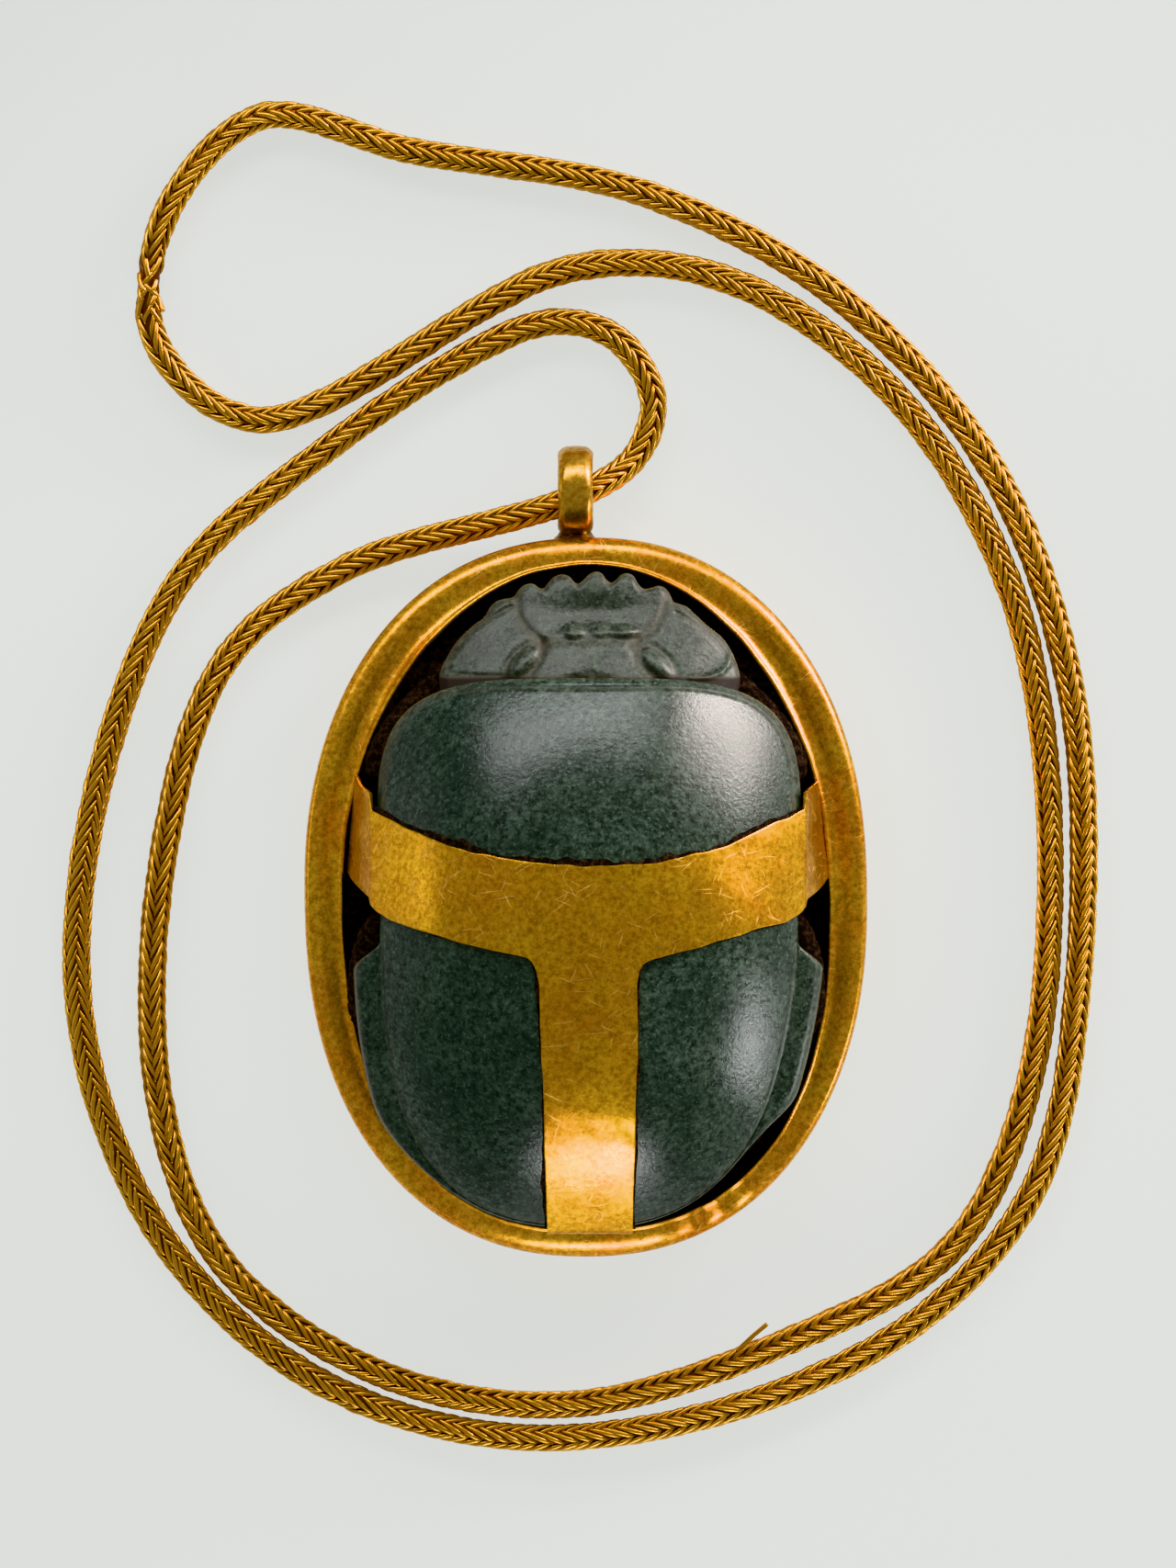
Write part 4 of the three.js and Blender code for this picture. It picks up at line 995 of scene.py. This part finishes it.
def body_height(x, y):
    """Height of the chest or the wing cases under the strap, whichever is the higher."""
    chest = np.where(y > -1.6, chest_height(x, y), FAR_BELOW)
    distance, turn = seen_from(WING_MIDDLE, x, y)
    wings = np.where(distance < ridge_reach(turn) * 1.2, wing_height(x, y), FAR_BELOW)
    return np.maximum(chest, wings)


def strap_height(x, y):
    near = [body_height(x, y + further) for further in BRIDGED]
    return np.mean(near, axis=0) + STRAP_GAP


def side_faces(number, turned):
    """Faces over a grid whose rows lead away from an edge, turned over where asked."""
    quads = np.stack([number[:-1, :-1], number[:-1, 1:], number[1:, 1:], number[1:, :-1]], -1)
    return quads[..., ::-1 if turned else 1].reshape(-1, 4).tolist()


x = ARM_SIDES[0] + (ARM_SIDES[1] - ARM_SIDES[0]) * np.linspace(0, 1, columns)
ragged = 0.07 * uneven(x, x * 0, 3.0, 41) + 0.04 * uneven(x, x * 0, 1.1, 42)
top_y = np.interp(x, *np.array(ARM_TOP).T)
foot_y = np.interp(x, *np.array(ARM_FOOT).T)
for _ in range(30):
    top_y[1:-1] = (top_y[:-2] + 2 * top_y[1:-1] + top_y[2:]) / 4
foot_y[1:-1] = (foot_y[:-2] + 2 * foot_y[1:-1] + foot_y[2:]) / 4
top_y += ragged
foot_y += 0.06 * uneven(x, x * 0, 2.5, 43)
points = []
for t in np.linspace(0, 1, rows):
    y = top_y + (foot_y - top_y) * t
    points.append(np.stack([x, y, strap_height(x, y) + 0.04 * uneven(x, y, 5, 44)], -1))
points = np.array(points)
number = numbered(rows, columns)
faces = grid_faces(number)

# the tail hangs from the middle columns of the arms' lower edge
sides = np.array(TAIL_SIDES)
first = int(np.argmin(np.abs(x - sides[0, 1])))
last = int(np.argmin(np.abs(x - sides[0, 2])))
share = (x[first:last + 1] - x[first]) / (x[last] - x[first])
tail_y = np.concatenate([np.linspace(0.06, 1, 10) ** 2 * -1.6, np.linspace(-1.75, -24.9, 110)[1:]])
tail_y = tail_y + TAIL_START
tail = []
for y_middle in tail_y:
    left = np.interp(-y_middle, -sides[:, 0], sides[:, 1])
    right = np.interp(-y_middle, -sides[:, 0], sides[:, 2])
    straight = smooth_step(-y_middle, -TAIL_START, 7.5)
    tail_x = left + (right - left) * share
    tail_x = tail_x + 0.05 * uneven(tail_x * 0 + y_middle, tail_x * 0, 2.5, 45) * (2 * share - 1)
    y = (foot_y[first:last + 1] + (y_middle - TAIL_START)) * (1 - straight) + y_middle * straight
    z = strap_height(tail_x, y) + 0.04 * uneven(tail_x, y, 5, 44)
    z = z + 0.05 * uneven(tail_x, y, 2.2, 47) * cut((y_middle + 21.5) / 3.5, 1)
    tail.append(np.stack([tail_x, y, z], -1))
end = tail[-1]
for back, fall in ((0.12, 0.25), (0.16, 0.8), (0.17, 1.5)):
    tail.append(end + [0, -back, -fall])
tail = np.array(tail)
tail_number = numbered(*tail.shape[:2], rows * columns)
faces += grid_faces(np.vstack([number[-1:, first:last + 1], tail_number]))
strap_points = [points.reshape(-1, 3), tail.reshape(-1, 3)]

# the side tabs start along the arms' ends and dive to the mount's lip
TABS = [                          # side, column of the arms, front and rear end of the tab's foot
    (-1, 0, (-20.9, 11.0, TAB_FOOT_HEIGHT), (-21.6, 2.3, TAB_FOOT_HEIGHT)),
    (1, columns - 1, (21.0, 10.4, TAB_FOOT_HEIGHT), (22.0, 1.8, TAB_FOOT_HEIGHT)),
]
t = np.linspace(0, 1, rows)
for side, column, foot_front, foot_rear in TABS:
    fold = points[:, column]
    tab_foot = foot_front + np.subtract(foot_rear, foot_front) * t[:, None]
    tab = []
    for reach_out in (0.04, 0.1, 0.2, 0.3, 0.4, 0.5, 0.6, 0.7, 0.8, 0.9, 1.0):
        bulge = 0.5 * math.sin(math.pi * reach_out) * side
        crease = 0.12 * uneven(t * 10, reach_out * 4 + t * 0, 4, 46) * math.sin(math.pi * reach_out)
        p = fold + (tab_foot - fold) * reach_out
        p[:, 0] += bulge * 0.6 + crease
        p[:, 1] += (1.5 * (1 - t) ** 3 + 0.6 * t**8) * (1 - reach_out) ** 0.5
        tab.append(p)
    tab = np.array(tab)
    tab_number = numbered(len(tab), rows, sum(len(p) for p in strap_points))
    faces += side_faces(np.vstack([number[None, :, column], tab_number]), side > 0)
    strap_points.append(tab.reshape(-1, 3))

# brown residue caked along the strap's edges, on the stone beside and under it; its dark band also serves
# as painted shadow along those edges
residue_and_shadow_points, residue_and_shadow_faces = [], []
tail_rows = len(tail) - 3
edges = [                         # x and y along the edge, way out from it, width
    (x, top_y, 0.0, 1.0, 0.5), (x[:first], foot_y[:first], 0.0, -1.0, 0.16),
    (x[last:], foot_y[last:], 0.0, -1.0, 0.16),
    (tail[6:tail_rows, 0, 0], tail[6:tail_rows, 0, 1], -1.0, 0.0, 0.3),
    (tail[6:tail_rows, -1, 0], tail[6:tail_rows, -1, 1], 1.0, 0.0, 0.22),
]
for edge_x, edge_y, out_x, out_y, wide in edges:
    width = wide * (1 + 0.7 * uneven(edge_x, edge_y, 6, 51) + 0.3 * uneven(edge_x, edge_y, 1.5, 52))
    rows_here = []
    for share, lift in ((-1.5, 0.06), (0.0, 0.1), (0.6, 0.08), (1.0, -0.03)):
        across = np.where(share > 0, np.maximum(width, 0.05), 0.4) * share
        px, py = edge_x + out_x * across, edge_y + out_y * across
        rows_here.append(np.stack([px, py, body_height(px, py) + lift], -1))
    residue_and_shadow_number = numbered(len(rows_here), len(edge_x), sum(len(p) for p in residue_and_shadow_points))
    residue_and_shadow_faces += side_faces(residue_and_shadow_number, out_x < 0)
    residue_and_shadow_points.append(np.vstack(rows_here))
residue_and_shadow_places = np.vstack(residue_and_shadow_points) * mm + [0, mount_y, 0]
residue_and_shadow = mesh_piece("earth_and_shadow_beside_strap", residue_and_shadow_places, residue_and_shadow_faces, earth_and_shade)
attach(residue_and_shadow, "root")

strap_gold = sheet_gold("burnished_strap_gold", "#f7c24a", "#e6a342", 0.42)
points = np.vstack(strap_points) * mm + [0, mount_y, 0]
strap = mesh_piece("sheet_gold_strap", points, faces, strap_gold)
bpy.ops.object.select_all(action="DESELECT")
bpy.context.view_layer.objects.active = strap
strap.select_set(True)
bpy.ops.object.mode_set(mode="EDIT")
bpy.ops.mesh.select_all(action="SELECT")
bpy.ops.mesh.normals_make_consistent(inside=False)
bpy.ops.object.mode_set(mode="OBJECT")
if strap.data.polygons[0].normal.z < 0:
    strap.data.flip_normals()
thickness = strap.modifiers.new("sheet", "SOLIDIFY")
thickness.thickness = SHEET * mm
thickness.offset = 1.0
bpy.ops.object.modifier_apply(modifier="sheet")
rounded = strap.modifiers.new("edges", "BEVEL")
rounded.width = 0.12 * mm
rounded.segments = 2
rounded.limit_method = "ANGLE"
rounded.angle_limit = math.radians(50)
bpy.ops.object.modifier_apply(modifier="edges")
give_attribute(strap, "dirt_and_shade", np.zeros(len(strap.data.vertices)))
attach(strap, "root")
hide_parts("gold_strap")
